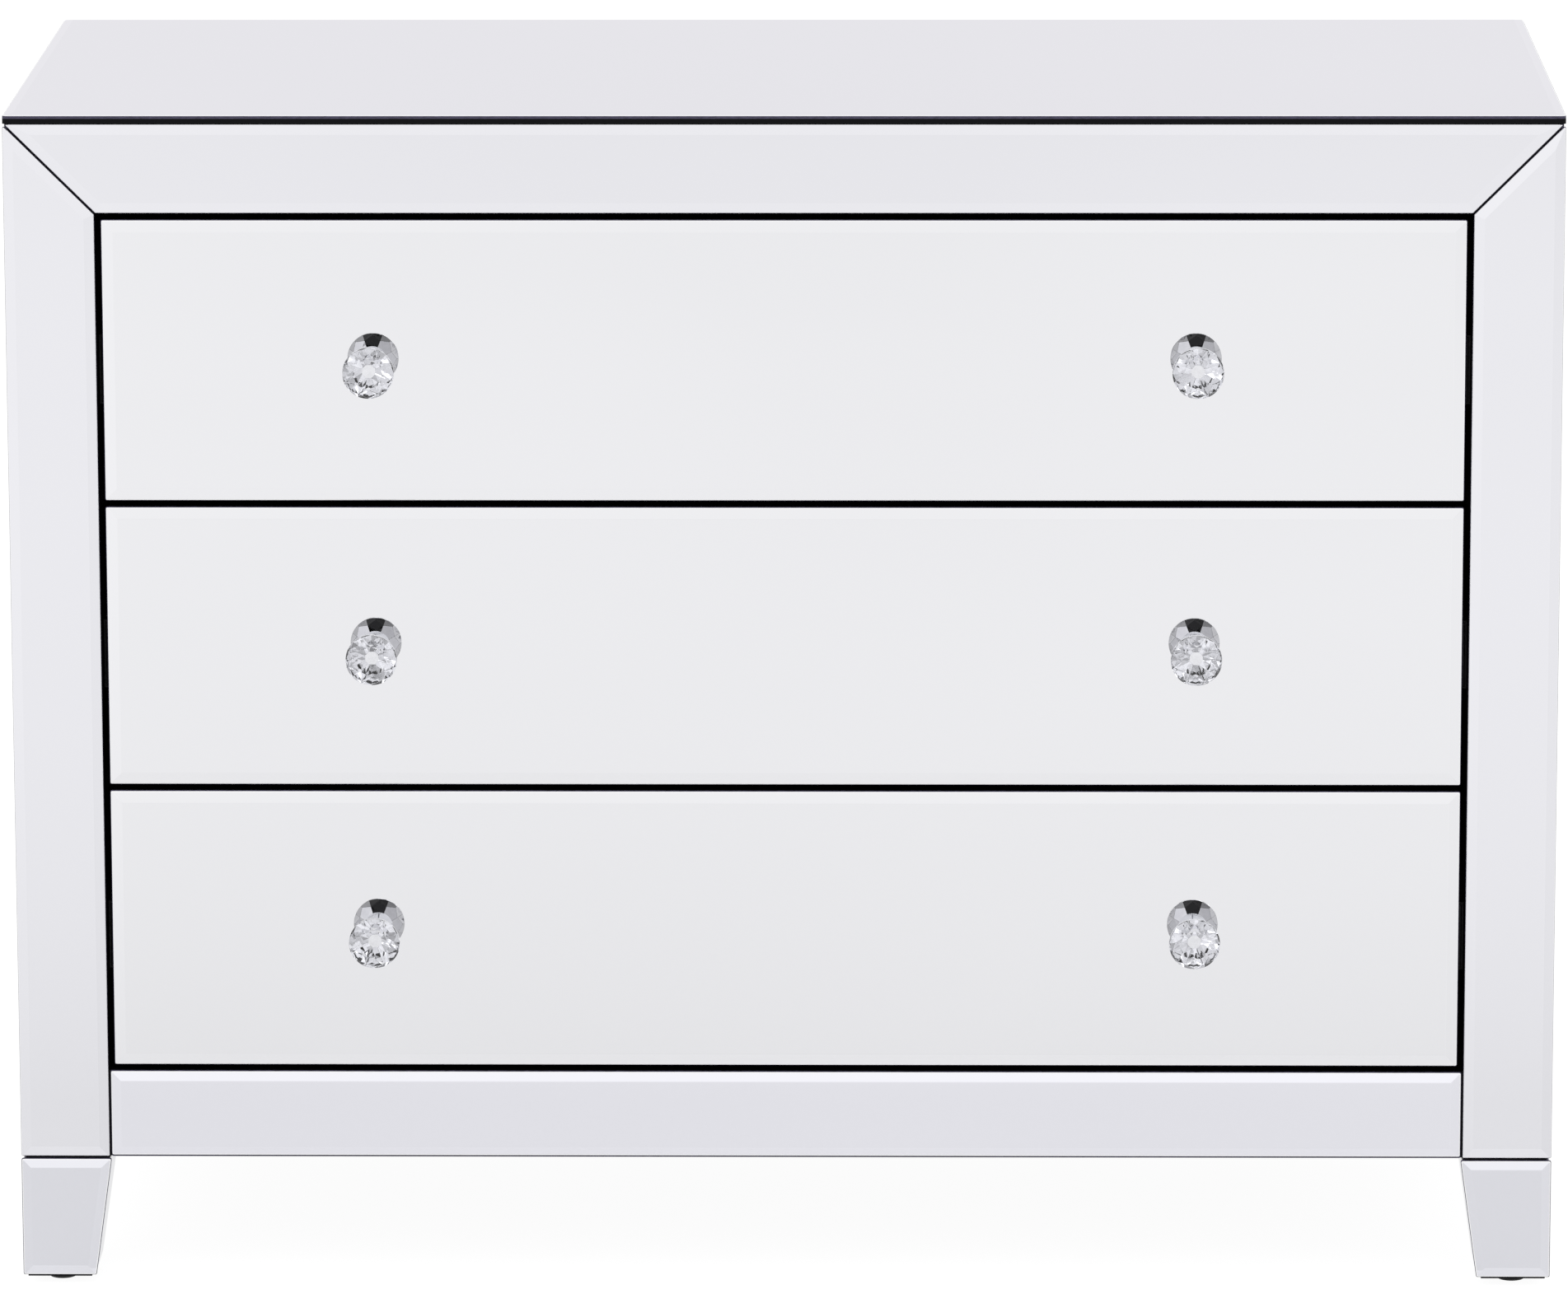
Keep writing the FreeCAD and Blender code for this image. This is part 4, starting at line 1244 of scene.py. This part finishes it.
class CHEST_OT_knob_crystals(ChestOperator, bpy.types.Operator):
    """Cut the crystals of the knobs"""

    bl_idname = "chest.knob_crystals"
    bl_label = "Knob Crystals"

    def make(self, scene):
        knob = scene.chest_knob
        clear_crystal(knob.crystal, knob.bending)
        crystal_foil()
        for node in each_drawer("knob_crystals"):
            build_crystals(node, knob)


class CHEST_OT_stage(ChestOperator, bpy.types.Operator):
    """Set the camera, the pale floor and the soft light"""

    bl_idname = "chest.stage"
    bl_label = "Studio"

    def make(self, scene):
        stage = scene.chest_stage
        scene.view_settings.view_transform = "Standard"
        set_camera(stage)
        set_world(stage)
        lay_floor(stage)
        hang_lamp("key_lamp", stage.key_watts, KEY_SIZE, KEY_SPOT)
        hang_lamp("fill_lamp", stage.fill_watts, FILL_SIZE, FILL_SPOT)


OPERATORS = (
    CHEST_OT_top_mirror,
    CHEST_OT_frame_mirrors,
    CHEST_OT_top_rail_mirror,
    CHEST_OT_bottom_rail_mirror,
    CHEST_OT_leg_mirrors,
    CHEST_OT_drawer_mirrors,
    CHEST_OT_painted_boards,
    CHEST_OT_linings,
    CHEST_OT_back,
    CHEST_OT_glides,
    CHEST_OT_runners,
    CHEST_OT_screws,
    CHEST_OT_knob_stems,
    CHEST_OT_knob_crystals,
    CHEST_OT_stage,
)


class CHEST_PT_pieces(bpy.types.Panel):
    """The chest's pieces, in the order in which they are made"""

    bl_idname = "CHEST_PT_pieces"
    bl_label = "Chest of Drawers"
    bl_space_type = "VIEW_3D"
    bl_region_type = "UI"
    bl_category = "Chest"

    def draw(self, context):
        column = self.layout.column(align=True)
        for operator in OPERATORS:
            column.operator(operator.bl_idname)


def register():
    """Registers the settings, the operators and the panel."""
    for name, group in SETTINGS.items():
        bpy.utils.register_class(group)
        setattr(bpy.types.Scene, name, bpy.props.PointerProperty(type=group))
    for made in (*OPERATORS, CHEST_PT_pieces):
        bpy.utils.register_class(made)


def unregister():
    """Takes them away again."""
    for made in (CHEST_PT_pieces, *reversed(OPERATORS)):
        bpy.utils.unregister_class(made)
    for name, group in SETTINGS.items():
        delattr(bpy.types.Scene, name)
        bpy.utils.unregister_class(group)


def main():
    """Makes every piece and the studio."""
    register()
    for operator in OPERATORS:
        group, name = operator.bl_idname.split(".")
        getattr(getattr(bpy.ops, group), name)()


if __name__ == "__main__":
    main()
